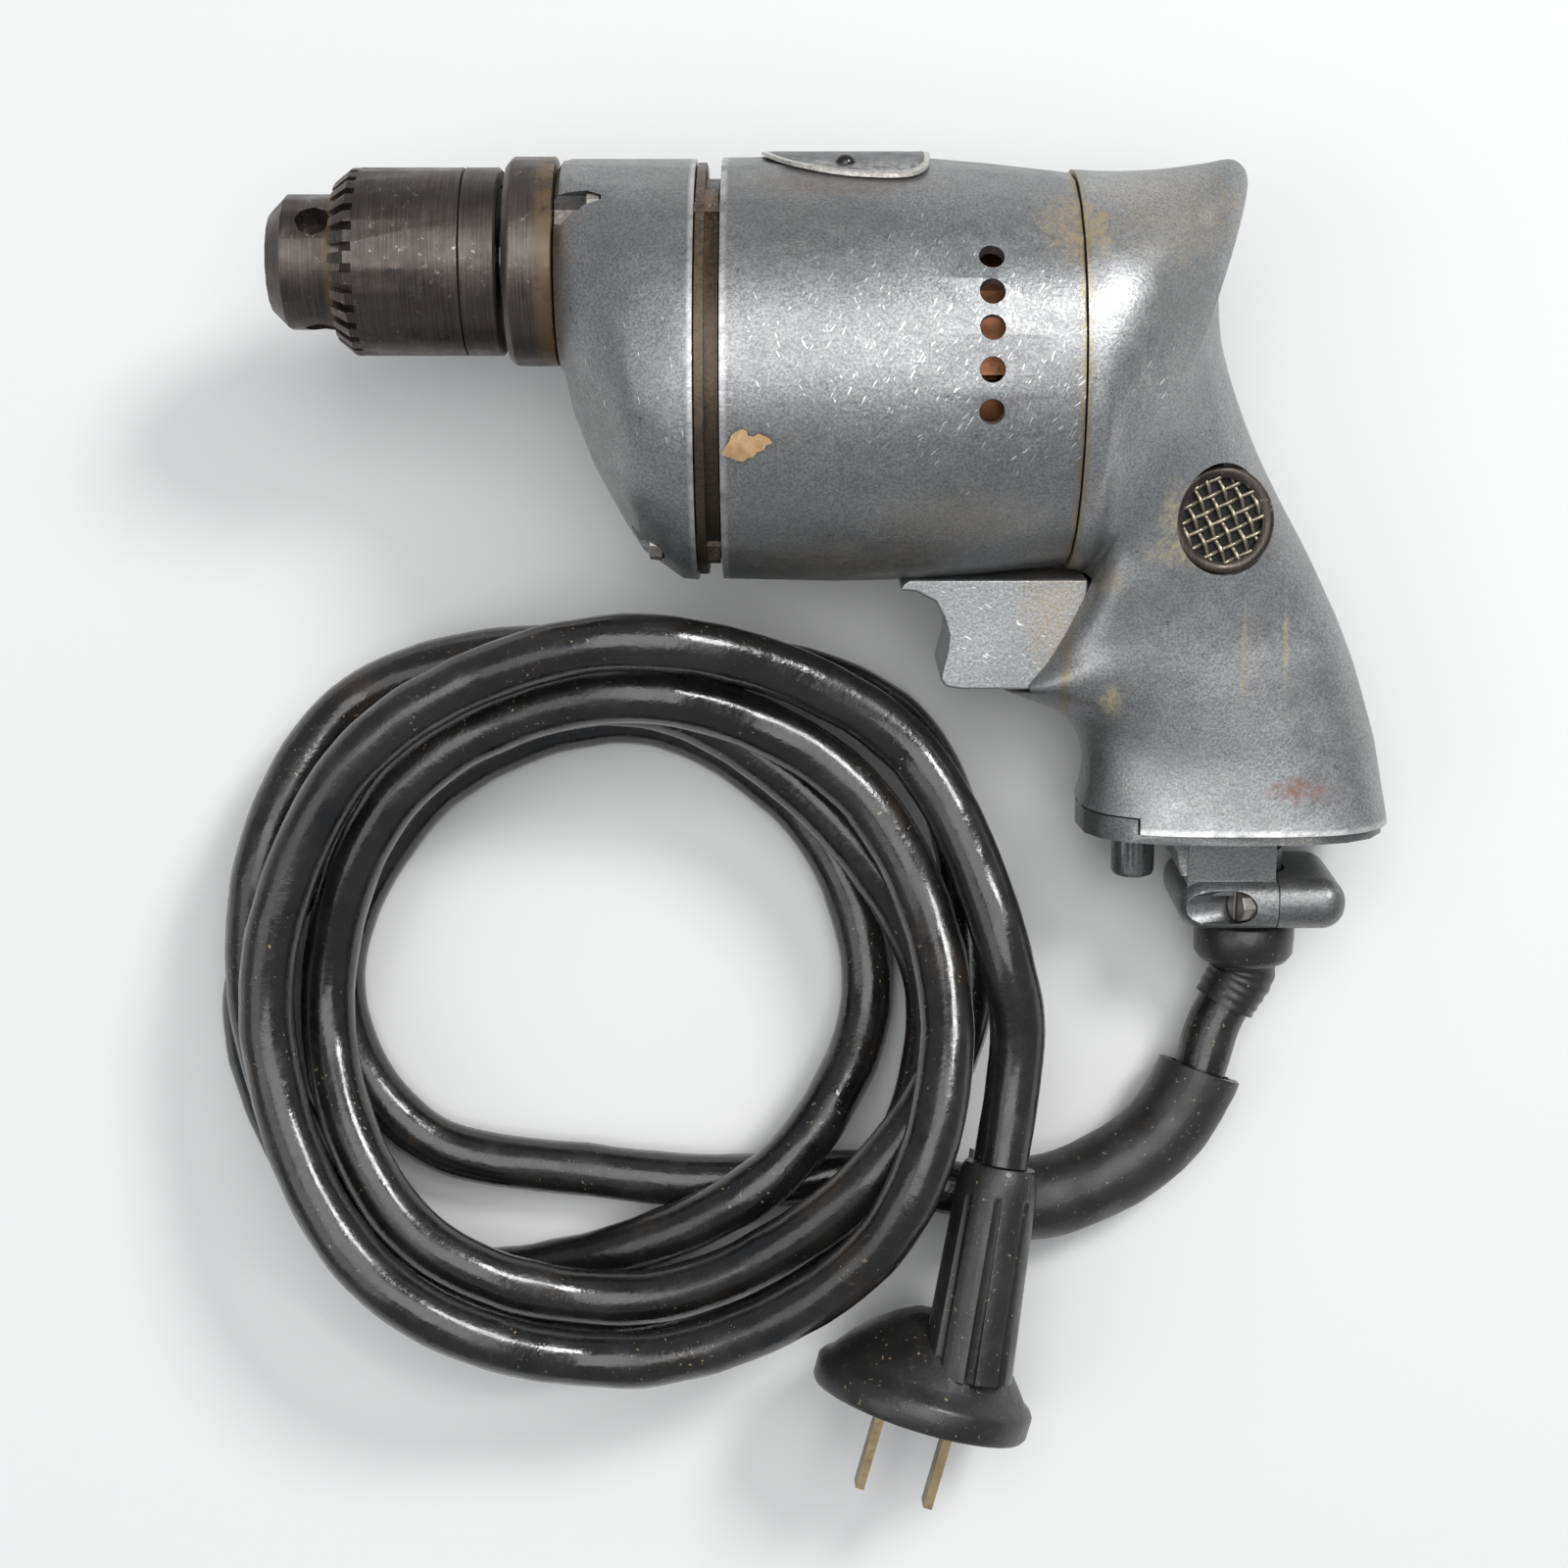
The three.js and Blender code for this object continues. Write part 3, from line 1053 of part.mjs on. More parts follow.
function clampScrew(side) {
  const body = revolved([
    [0, 0], [0, CLAMP_HEAD_R], [CLAMP_SCREW_HEAD, CLAMP_HEAD_R], [CLAMP_SCREW_HEAD, CLAMP_SCREW_R],
    [CLAMP_SCREW_LENGTH, CLAMP_SCREW_R], [CLAMP_SCREW_LENGTH, 0],
  ], SMALL);
  const half = SLOT_WIDTH / 2;
  const slot = block(-CUT, SLOT_DEPTH, -CLAMP_HEAD_R - CUT, CLAMP_HEAD_R + CUT, -half, half);
  return atClampScrew(cut(body, slot), side);
}

function baseCapScrew() {
  const face = -BASE_DROP - FIT - CAP_PLATE - FIT;
  const body = alongY(revolved([
    [face - CAP_SCREW_HEAD, 0], [face - CAP_SCREW_HEAD, CAP_SCREW_HEAD_R], [face, CAP_SCREW_HEAD_R],
    [face, CAP_SCREW_R], [-BASE_DROP + CAP_SCREW_DEEP, CAP_SCREW_R], [-BASE_DROP + CAP_SCREW_DEEP, 0],
  ], SMALL)).translate(CAP_SCREW_X, 0, 0);
  const half = SLOT_WIDTH / 2;
  const tip = face - CAP_SCREW_HEAD;
  return cut(body, block(CAP_SCREW_X - half, CAP_SCREW_X + half, tip - CUT, tip + SLOT_DEPTH,
    -CAP_SCREW_HEAD_R - CUT, CAP_SCREW_HEAD_R + CUT));
}

// The drill lies on the underside of its casing and on a low edge of the grip's foot
function restTilt() {
  const half = HOUSING_R * housingShares.at(-1)[4];
  return Math.asin(CASING_R / Math.hypot(BASE_DROP, half)) - Math.atan2(half, BASE_DROP);
}

const drill = new THREE.Group();
drill.rotation.x = restTilt();
drill.position.z = CASING_R;
drill.updateMatrix();

// The lead on the bench, from the coil to the boot; heights are those of its middle line
const leadRoute = [
  [-59.4, -137.9, 5.2], [-46.2, -141.7, 5.2], [-26.7, -143.7, 5.2], [-7.2, -145.7, 5.2], [11.1, -145.6, 5.3],
  [25.7, -144.9, 6], [40.2, -146.5, 7.6], [56.5, -148.6, 8.2], [69.2, -144.6, 8.2], [80, -137.3, 8.2],
  [87.3, -126.4, 8.3],
].map((p) => new THREE.Vector3(...p));

function benchPoint(y) {
  return new THREE.Vector3(CORD_X, -y, 0).applyMatrix4(drill.matrix);
}

const bootTail = [
  benchPoint(BOOT_COLLAR_END - BOOT_ROUND),
  benchPoint(BOOT_COLLAR_END + BOOT_ROUND),
  new THREE.Vector3(92.4, -112.4, 9),
];
const leadEnd = bootTail.at(-1);
const tailRun = leadEnd.clone().sub(bootTail.at(-2)).normalize();
leadRoute.push(leadEnd.clone().addScaledVector(tailRun, CORD_R), leadEnd);

function sectionOf(radius, sides) {
  return circlePoints(radius, sides);
}

function strainReliefBoot() {
  const collar = alongY(revolved([
    [-BOOT_COLLAR_END, 0], [-BOOT_COLLAR_END, BOOT_COLLAR_R - BOOT_ROUND],
    [-BOOT_COLLAR_END + BOOT_ROUND, BOOT_COLLAR_R], [-BOOT_COLLAR_START, BOOT_COLLAR_R],
    [-BOOT_COLLAR_START, BOOT_R], [-BASE_DROP - CAP_PLATE - FIT, BOOT_R],
    [-BASE_DROP - CAP_PLATE - FIT, 0],
  ], MEDIUM)).translate(CORD_X, 0, 0);
  collar.applyMatrix4(drill.matrix);
  return join(collar, swept(bootTail, sectionOf(BOOT_TAIL_R, SMALL), 6));
}

// Strands of the coil from the plug to the lead, as radii at chosen angles round the coil's middle
const coilRoute = [
  [-23, 71.1], [0, 68], [45, 67.2], [90, 64.2], [135, 65.1], [180, 65], [225, 65.1], [270, 63], [315, 59.8],
  [360, 55.6], [405, 55.6], [450, 55.4], [495, 56.6], [540, 55.9], [585, 56.2], [630, 53.1], [675, 50.9],
  [720, 60], [765, 70.4], [810, 63.4], [855, 75.4], [900, 69.1], [945, 64.4], [990, 61.4], [1035, 56.3],
  [1080, 54.3], [1125, 49.1], [1170, 55], [1215, 59.1], [1260, 72.5], [1305, 69], [1322, 58.5],
  [1350, 44.9], [1395, 39.9], [1440, 42.5], [1485, 45.7], [1530, 52], [1575, 54.4], [1620, 57.9],
];

const coilBends = coilRoute.map(([angle, radius]) => (
  new THREE.Vector3(COIL_X + radius * Math.cos(deg(angle)), COIL_Y + radius * Math.sin(deg(angle)), 0)));

// The coil's two ends run straight for one diameter, in line with the plug's neck and with the lead
const neckStart = new THREE.Vector3(PLUG_NECK_X, PLUG_NECK_Y - PLUG_DOME / 2, 0);
const neckRun = coilBends[0].clone().sub(neckStart).normalize();
const joinRun = leadRoute[1].clone().sub(coilBends.at(-1)).setZ(0).normalize();
const leadPath = [
  leadRoute[0], leadRoute[0].clone().addScaledVector(joinRun, CORD_R * 2), ...leadRoute.slice(1),
];

function coilPlan() {
  const [first, ...rest] = coilBends;
  const end = leadRoute[0].clone().setZ(0);
  const bends = [first, first.clone().addScaledVector(neckRun, CORD_R * 2), ...rest,
    end.clone().addScaledVector(joinRun, -CORD_R * 2), end];
  const turns = deg(coilRoute.at(-1)[0] - coilRoute[0][0]) / TURN;
  return new THREE.CatmullRomCurve3(bends).getSpacedPoints(Math.round(turns * LOOP_STEPS * 5));
}

// Lets the coil settle: each strand lies on those nearer the drill, and rises and falls gently
function settled(plan) {
  const under = new THREE.CatmullRomCurve3(leadPath).getSpacedPoints(plan.length / 2);
  const pitch = CORD_R * 2 + LAY_GAP;
  const low = CORD_R + CORD_RISE;
  const z = plan.map(() => low);
  const step = plan[0].distanceTo(plan[1]);
  const apart = Math.ceil(LAY_REACH / step);
  const straight = Math.ceil((CORD_R * 2) / step);
  z.fill(NECK_HEIGHT, 0, straight + 1);
  for (let pass = 0; pass < 6; pass++) {
    for (let i = plan.length - 1 - apart; i >= 0; i--) {
      under.forEach((p) => {
        const d = Math.hypot(plan[i].x - p.x, plan[i].y - p.y);
        if (d < pitch) {
          z[i] = Math.max(z[i], p.z + Math.sqrt(pitch ** 2 - d ** 2));
        }
      });
      for (let j = i + apart; j < plan.length; j++) {
        const d = Math.hypot(plan[i].x - plan[j].x, plan[i].y - plan[j].y);
        if (d < pitch) {
          z[i] = Math.max(z[i], z[j] + Math.sqrt(pitch ** 2 - d ** 2));
        }
      }
    }
    for (let i = plan.length - 2; i >= 0; i--) {
      z[i] = Math.max(z[i], z[i + 1] - LAY_SLOPE * step);
    }
    for (let i = 1; i < plan.length; i++) {
      z[i] = Math.max(z[i], z[i - 1] - LAY_SLOPE * step);
    }
  }
  z.fill(NECK_HEIGHT, 0, straight + 1);
  z.fill(leadRoute[0].z, plan.length - straight);
  return plan.map((p, i) => new THREE.Vector3(p.x, p.y, z[i]));
}

const coilPoints = settled(coilPlan());

function leastGap(points) {
  const step = points[0].distanceTo(points[1]);
  const apart = Math.ceil(LAY_REACH / step);
  let least = Infinity;
  for (let i = 0; i < points.length; i++) {
    for (let j = i + apart; j < points.length; j++) {
      least = Math.min(least, points[i].distanceTo(points[j]));
    }
  }
  return least - CORD_R * 2;
}

function trimmed(points, drop) {
  const path = new THREE.CatmullRomCurve3(points);
  const share = drop / path.getLength();
  const count = Math.max(points.length, LEAD_STEPS * 5);
  return Array.from({ length: count + 1 }, (_, k) => (
    path.getPointAt(THREE.MathUtils.lerp(share, 1 - share, k / count))));
}

function cordCoil() {
  const turns = deg(coilRoute.at(-1)[0] - coilRoute[0][0]) / TURN;
  return swept(trimmed(coilPoints, FIT), sectionOf(CORD_R, 6), Math.round(turns * LOOP_STEPS));
}

function cordLead() {
  return swept(trimmed(leadPath, FIT), sectionOf(CORD_R, 8), LEAD_STEPS);
}

function cordGuard() {
  const [from, to] = [deg(GUARD_SLIT_ANGLE / 2), TURN - deg(GUARD_SLIT_ANGLE / 2)];
  const count = SMALL;
  const arc = (radius, k) => polar(radius, from + ((to - from) * k) / count);
  const outside = Array.from({ length: count + 1 }, (_, k) => arc(GUARD_R, k));
  const inside = Array.from({ length: count + 1 }, (_, k) => arc(GUARD_BORE_R, count - k));
  const path = new THREE.CatmullRomCurve3(leadPath);
  const points = Array.from({ length: GUARD_STEPS }, (_, k) => (
    path.getPointAt(THREE.MathUtils.lerp(...guardShares, k / (GUARD_STEPS - 1)))));
  return swept(points, [...outside, ...inside], GUARD_STEPS);
}

// Plug: drawn with its face towards -y, then turned to its place on the bench
function toPlug(geometry) {
  geometry.rotateZ(deg(PLUG_TURN));
  geometry.translate(PLUG_X, PLUG_Y, PLUG_R + CORD_RISE);
  return geometry;
}

function plugBody() {
  const body = toPlug(alongY(revolved([
    [-PLUG_RIM, 0], [-PLUG_RIM, PLUG_R - CUT], [-PLUG_RIM + CUT, PLUG_R], [0, PLUG_R],
    [PLUG_DOME * 0.2, PLUG_R * 0.86], [PLUG_DOME * 0.6, PLUG_R * 0.62], [PLUG_DOME, PLUG_R * 0.3],
    [PLUG_DOME, 0],
  ], ROUND)));
  const start = neckStart.clone().setZ(NECK_HEIGHT);
  const end = coilPoints[0].clone();
  const along = end.clone().sub(start);
  const length = along.length() - FIT;
  const neck = new THREE.CylinderGeometry(PLUG_NECK_END_R, PLUG_NECK_R, length, 8);
  neck.translate(0, length / 2, 0);
  neck.applyQuaternion(new THREE.Quaternion().setFromUnitVectors(
    new THREE.Vector3(0, 1, 0), along.normalize()));
  neck.translate(start.x, start.y, start.z);
  const slots = [1, -1].map((side) => toPlug(bladeAt(side, FIT)));
  return cut(join(body, neck), ...slots);
}

function bladeAt(side, room) {
  const half = BLADE_THICK / 2 + room;
  const x = side * BLADE_SPREAD;
  return block(x - half, x + half, -PLUG_RIM - BLADE_LENGTH, -PLUG_RIM + BLADE_ROOT + room,
    -BLADE_WIDTH / 2 - room, BLADE_WIDTH / 2 + room);
}

// Assembly
drill.add(
  named('gear_case', gearCase(), castAlloy),
  named('gear_plate', gearPlate(), castAlloy),
  named('bearing_collar', bearingCollar(), gunmetal),
  named('front_bearing', pipe(BEARING_FRONT, GEAR_FRONT - FIT * 2, SPINDLE_R + FIT,
    BEARING_BORE_R - FIT, MEDIUM, SPINDLE_Y), steel),
  named('rear_spindle_bush', pipe(BUSH_FRONT, PLATE_REAR - FIT, JOURNAL_R + FIT, BUSH_R, MEDIUM,
    SPINDLE_Y), bronze),
  named('spindle', spindle(), steel),
  named('spindle_gear', gear(SPINDLE_TEETH, SMALL_TO_SPINDLE + Math.PI + Math.PI / SPINDLE_TEETH,
    SPINDLE_GEAR_FRONT, SPINDLE_GEAR_REAR, GEAR_SEAT_R + FIT, SPINDLE_Y, 0), steel),
  named('chuck_body', chuckBody(), gunmetal),
  named('chuck_sleeve', chuckSleeve(), gunmetal),
  named('chuck_nut', pipe(NUT_FRONT, NUT_FRONT + NUT_LENGTH, NUT_BORE_R, NUT_R, MEDIUM, SPINDLE_Y), steel),
  ...[0, 1, 2].map((i) => named(`chuck_jaw_${i + 1}`, chuckJaw(i), steel)),
  named('intermediate_pin', rod(SMALL_FRONT - PIN_R * 2 + FIT, PLATE_REAR - FIT, PIN_R, SMALL,
    PIN_Y, PIN_Z), steel),
  named('intermediate_gear', join(
    gear(WHEEL_TEETH, PINION_TO_WHEEL + Math.PI + Math.PI / WHEEL_TEETH, WHEEL_FRONT, WHEEL_REAR,
      GEAR_BORE_R, PIN_Y, PIN_Z),
    gear(SMALL_TEETH, SMALL_TO_SPINDLE, SMALL_FRONT, SMALL_REAR, GEAR_BORE_R, PIN_Y, PIN_Z),
    pipe(SMALL_REAR - CUT, WHEEL_FRONT + CUT, GEAR_BORE_R, MODULE * (SMALL_TEETH / 2 - DEDENDUM_SHARE),
      SMALL, PIN_Y, PIN_Z),
  ), steel),
  named('armature_shaft', armatureShaft(), steel),
  named('armature_core', runAlongX(coreOutline(), [circlePoints(SHAFT_R + FIT, SMALL)], CORE_FRONT,
    CORE_REAR), laminate),
  named('armature_winding_front', pipe(CORE_FRONT - FIT - WINDING_LENGTH, CORE_FRONT - FIT,
    SHAFT_R + FIT, WINDING_R, MEDIUM), copper),
  named('armature_winding_rear', pipe(CORE_REAR + FIT, CORE_REAR + FIT + WINDING_LENGTH,
    SHAFT_R + FIT, WINDING_R, MEDIUM), copper),
  named('commutator', pipe(COMMUTATOR_FRONT, COMMUTATOR_REAR, SHAFT_R + FIT, COMMUTATOR_R, MEDIUM), copper),
  named('cooling_fan', coolingFan(), wornAlloy),
  named('armature_front_bearing', pipe(FRONT_BEARING_X, FRONT_BEARING_X + BEARING_WIDTH,
    SHAFT_R + FIT, BEARING_R, MEDIUM), steel),
  named('armature_rear_bearing', pipe(REAR_BEARING_X, REAR_BEARING_X + BEARING_WIDTH,
    SHAFT_R + FIT, BEARING_R, MEDIUM), steel),
  named('field_core', fieldCore(), laminate),
  named('field_coil_upper', fieldCoil(true), copper),
  named('field_coil_lower', fieldCoil(false), copper),
  named('motor_casing', motorCasing(), castAlloy),
  named('rear_housing', rearHousing(), castAlloy),
  named('brush_ring', pipe(BRUSH_RING_FRONT + FIT, BRUSH_RING_FRONT + FIT + BRUSH_RING,
    BRUSH_RING_BORE, CASING_REAR_BORE - FIT, ROUND), phenolic),
  named('brush_holder_upper', brushHolder(1), brass),
  named('brush_holder_lower', brushHolder(-1), brass),
  named('carbon_brush_upper', carbonBrush(1), carbon),
  named('carbon_brush_lower', carbonBrush(-1), carbon),
  named('trigger', trigger(), wornAlloy),
  named('switch_body', switchBody(), phenolic),
  named('base_cap', baseCap(), castAlloy),
  named('cord_clamp_cap', clampCap(), castAlloy),
  named('clamp_screw_1', clampScrew(1), steel),
  named('clamp_screw_2', clampScrew(-1), steel),
  named('base_cap_screw', baseCapScrew(), steel),
  ...screwPlaces.map((place, i) => named(`gear_case_screw_${i + 1}`, gearCaseScrew(place), steel)),
  named('vent_screen_left', ventScreen(1), meshMetal),
  named('vent_screen_right', ventScreen(-1), meshMetal),
);

const bench = new THREE.Group();
bench.add(
  named('strain_relief_boot', strainReliefBoot(), dullRubber),
  named('cord_guard', cordGuard(), dullRubber),
  named('cord_lead', cordLead(), cordRubber),
  named('cord_coil', cordCoil(), cordRubber),
  named('plug_body', plugBody(), dullRubber),
  named('plug_blade_1', toPlug(bladeAt(1, 0)), brass),
  named('plug_blade_2', toPlug(bladeAt(-1, 0)), brass),
);

// The origin is under the middle of the drill itself, without its lead
const whole = new THREE.Group();
whole.add(drill, bench);
whole.updateMatrixWorld(true);
const bounds = new THREE.Box3().setFromObject(drill, true);
bounds.expandByObject(bench.children[0], true);
const middle = bounds.getCenter(new THREE.Vector3());
whole.position.set(-middle.x, -middle.y, -bounds.min.z);
whole.updateMatrixWorld(true);
console.log('least gap of the coil to itself, mm:', leastGap(trimmed(coilPoints, FIT)).toFixed(2));

export default whole;
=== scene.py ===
"""Looks of a cast-metal pistol drill, lying on a pale bench with its coiled lead and plug."""

import json
import math

import bpy
import numpy as np
from mathutils import Matrix, Vector, noise
from mathutils.bvhtree import BVHTree


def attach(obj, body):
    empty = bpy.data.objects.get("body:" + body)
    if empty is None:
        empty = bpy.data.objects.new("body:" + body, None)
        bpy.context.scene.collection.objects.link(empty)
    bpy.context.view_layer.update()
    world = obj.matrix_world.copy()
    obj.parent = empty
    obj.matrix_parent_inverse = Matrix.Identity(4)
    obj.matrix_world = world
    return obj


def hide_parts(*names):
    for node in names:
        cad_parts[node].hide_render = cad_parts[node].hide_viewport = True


bl_info = {
    "name": "Cast Metal Drill",
    "version": (1, 0, 0),
    "blender": (4, 5, 0),
    "location": "3D View > Sidebar > Drill",
    "description": "Dresses a corded pistol drill with its surfaces, lead, plug and bench",
    "category": "Object",
}

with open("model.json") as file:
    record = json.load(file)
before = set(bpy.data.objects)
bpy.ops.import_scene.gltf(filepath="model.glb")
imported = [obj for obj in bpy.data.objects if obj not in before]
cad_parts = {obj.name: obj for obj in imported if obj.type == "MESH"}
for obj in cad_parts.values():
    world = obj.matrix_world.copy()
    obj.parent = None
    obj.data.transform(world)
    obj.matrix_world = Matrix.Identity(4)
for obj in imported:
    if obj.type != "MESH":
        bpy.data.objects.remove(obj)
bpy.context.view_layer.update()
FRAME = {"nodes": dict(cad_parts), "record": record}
MM = 0.001

# The drill lies tilted on the bench: its own x runs back, y up, z out of the side that faces up
LAY_TILT = math.radians(14.234)
LAY_PLACE = Vector((-21.35, 39.219, 36.6)) * MM
BENCH_PLACE = Vector((-21.35, 39.219, 0)) * MM
LAID = Matrix.Translation(LAY_PLACE) @ Matrix.Rotation(LAY_TILT, 4, "X")
CASING_R = 36.6

# Lead on the bench, in millimetres from the coil's end to the boot, heights of its middle line
LEAD_ROUTE = [
    (-59.4, -137.9, 5.2), (-46.2, -141.7, 5.2), (-26.7, -143.7, 5.2), (-7.2, -145.7, 5.2),
    (11.1, -145.6, 5.3), (25.7, -144.9, 6), (40.2, -146.5, 7.6), (56.5, -148.6, 8.2),
    (69.2, -144.6, 8.2), (80, -137.3, 8.2), (87.3, -126.4, 8.3),
]
LEAD_END = (92.4, -112.4, 9)
COIL_MIDDLE = (-15.9, -111.7)
COIL_ROUTE = [
    (-23, 71.1), (0, 68), (45, 67.2), (90, 64.2), (135, 65.1), (180, 65), (225, 65.1), (270, 63),
    (315, 59.8), (360, 55.6), (405, 55.6), (450, 55.4), (495, 56.6), (540, 55.9), (585, 56.2),
    (630, 53.1), (675, 50.9), (720, 60), (765, 70.4), (810, 63.4), (855, 75.4), (900, 69.1),
    (945, 64.4), (990, 61.4), (1035, 56.3), (1080, 54.3), (1125, 49.1), (1170, 55), (1215, 59.1),
    (1260, 72.5), (1305, 69), (1322, 58.5), (1350, 44.9), (1395, 39.9), (1440, 42.5), (1485, 45.7),
    (1530, 52), (1575, 54.4), (1620, 57.9),
]
# The cord's radius, and the start and height of the plug's neck
CORD_R = 5.0
NECK_START = (43.4, -176.85)
NECK_HEIGHT = 28.0
# The gap between strands that lie on each other, and the steepest rise of a strand
LAY_GAP = 1.8
LAY_SLOPE = 0.34
# Points nearer than this along the coil lie on one strand, and no strand is nearer to the bench than the gap
OWN_STRAND = 24
BENCH_GAP = 0.2
SETTLE_ROUNDS, HEIGHT_ROUNDS, JOIN_ROUNDS = 6, 12, 90
COIL_STEPS, UNDER_STEPS, LEAD_STEPS, CORD_STEPS, HOSE_STEPS = 547, 280, 150, 900, 400
# The drawn skin is a little thinner than the cord, to leave room for its lumps
SKIN_SHARE = 0.985
# The cord leaves the foot at this x, down through the boot
BOOT_X = 95.6
BOOT_COLLAR_END = 107.5
# The guard runs over this share of the lead, with its slit at this angle
HOSE_RUN = (0.622, 0.928)
HOSE_OUTER, HOSE_INNER = 7.7, 5.75
HOSE_SLIT_AT = math.radians(118)
PLUG_PLACE = (36.8, -179.6, 20.2)
PLUG_TURN = -16.4
FLUTES = 8

# Profiles of turned pieces: way along the axis and radius, in millimetres
BOOT_PROFILE = [(-85.5, 6.25), (-99.3, 6.25), (-99.3, 8.7), (-99.7, 9.1), (-103, 9.15), (-105.6, 9), (-106.8, 8.2),
                (-107.4, 7)]
PLUG_PROFILE = [(-5.5, 18.4), (-5.2, 19.5), (-4.4, 20), (-0.8, 20), (0.1, 19.4), (0.9, 18.2), (2.4, 17.1), (5, 15),
                (7.6, 12.3), (10.2, 9), (12, 5.8), (12.5, 3)]
POST_PROFILE = [(80.4, 3.9), (90.1, 3.9), (90.8, 3.6), (91.2, 2.7)]
SCREW_WAY = [(-16, 3.15), (2.65, 3.15), (2.65, 1.55), (17.1, 1.55)]
RIM_PROFILE = [(-1.9, 7.1), (-1.9, 9.3), (-0.5, 9.3), (-0.1, 9.0), (0, 8.4), (-0.1, 7.8), (-0.6, 7.2), (-1.9, 7.1)]
RIVET_PROFILE = [(0, 1.75), (0.3, 1.7), (0.8, 1.4), (1.15, 0.9), (1.3, 0.3)]

# The foot: the clamp's bar and its two halves, the screw post, the flare below the plate and what they stand in for
CLAMP_BAR = (81.8, -98.8, -12.7), (112, -89.5, 12.7)
BRACKET_X, CAP_X = (81, 99.44), (99.54, 113)
CORD_WAY_R = 6.6
POST_X = 74.68
FLARE = [(77.6, -80.6), (77.9, -81.5), (79.4, -82.1), (80.7, -83.2), (81.5, -84.8), (81.8, -87), (82.4, -89),
         (84.5, -89), (84.5, -80.6)]
NECK = (83.4, -92.4, -10), (99.1, -89.2, 10)
SQUARE_POST_AND_CLAMP = [((70, -93, -5), (79.4, -81.05, 5)), ((80, -100, -14), (100, -89.4, 14))]

# The casing's air holes: their angles round it, place and radius
AIR_HOLES = (37, 26.7, 16.9, 5.8, -5.3)
AIR_HOLE_X, AIR_HOLE_R = 44.8, 2.12

# The vents: middle, and the angle and direction of their lean
VENT_MIDDLE = (86.5, -23.9, 14.6)
VENT_LEAN = math.radians(16)
VENT_LEAN_TO = math.radians(43)

# Sections of the grip housing from the joint round to the foot, in millimetres on the drill's side view: inner
# point, outer point, half width, and how square the section is at its inner and outer ends
HOUSING_ROWS = [
    (60.4, -34.3, 60.4, 34.3, 34.3, 2, 2), (61.5, -34.5, 66.5, 34, 33.6, 2, 2),
    (62.3, -34.8, 74.9, 34.3, 31.5, 2, 1.85), (62.8, -35, 82.5, 35.2, 28.3, 2, 1.55),
    (63.2, -35.2, 88, 35.9, 25.6, 2, 1.35), (63.3, -35.4, 90, 34.3, 24.6, 2, 1.3),
    (63.4, -35.6, 90.6, 32.2, 23.9, 2, 1.3), (63.5, -35.8, 90.1, 29.2, 23.3, 2, 1.4),
    (63.6, -36.1, 88.3, 25.6, 22.8, 2, 1.5), (63.5, -36.6, 86.4, 19.5, 22.5, 2, 1.65),
    (63.2, -37.3, 86.1, 13, 22.2, 2, 1.75), (62.6, -38.6, 87, 5, 21.4, 2, 1.85),
    (61.4, -40.8, 89.6, -3.5, 20.6, 2.1, 1.9), (59.4, -43.8, 93.6, -13.2, 19.5, 2.2, 2),
    (56.8, -47.2, 98.3, -22.3, 18.3, 2.3, 2), (53.6, -51, 103.4, -31.3, 17.3, 2.4, 2),
    (49.6, -55.7, 107.6, -39.6, 16.8, 2.5, 2), (52.3, -56.9, 109.5, -43.4, 16.6, 2.5, 2),
    (55.3, -58.1, 111.2, -47.5, 16.4, 2.4, 2.1), (58.2, -59.2, 112.6, -50.9, 16.3, 2.3, 2.1),
    (60.7, -60.6, 113.7, -54.1, 16.2, 2.3, 2.1), (63.5, -63.9, 115.5, -59.8, 16.1, 2.3, 2.2),
    (64.8, -67.9, 117.1, -65.2, 16.1, 2.4, 2.3), (64.9, -72.6, 118.3, -71.3, 16.5, 2.6, 2.5),
    (64, -77, 119.3, -76.8, 17.1, 2.9, 2.8), (63.5, -79.5, 119.7, -79.5, 17.6, 3, 3),
]
JOINT_X = 60.4
# The trigger's opening, and boxes cut for the trigger, for the switch and at the foot
MOUTH = [
    (28, -33.8), (62.3, -33.8), (62.9, -35.7), (62.6, -38.8), (61.3, -42.4), (59.2, -46), (56.5, -48.3),
    (53.4, -50.3), (49.1, -52.7), (28, -54),
]
ROOMS = [((30, -55.1, -10.9), (69.6, -34.7, 10.9)), ((69.4, -55.3, -9.3), (90, -36.7, 9.3)),
         ((60, -80.5, -34.4), (73.8, -76.7, 34.4))]
# The wall between the casing and the grip, and the least thickness of the casting elsewhere
WEB = (62, -30.6, -30), (66.6, 34, 30)
LEAST_WALL = 2.4
# The flank is eased on a grid of this corner and size, along the line from the grip's foot to the horn's head
FLANK_GRID = (50, -60, 60, 110)
FLANK_FOOT, FLANK_HEAD = (64, -36), (88.5, 26)
RAYS_FROM_X, RAYS_FROM_Z = 130, 60
FINE_MERGE = 0.000001

# The front faces of the chuck's nose and of the collar, where old grease lies
NOSE_X, COLLAR_X = -65.5, -28

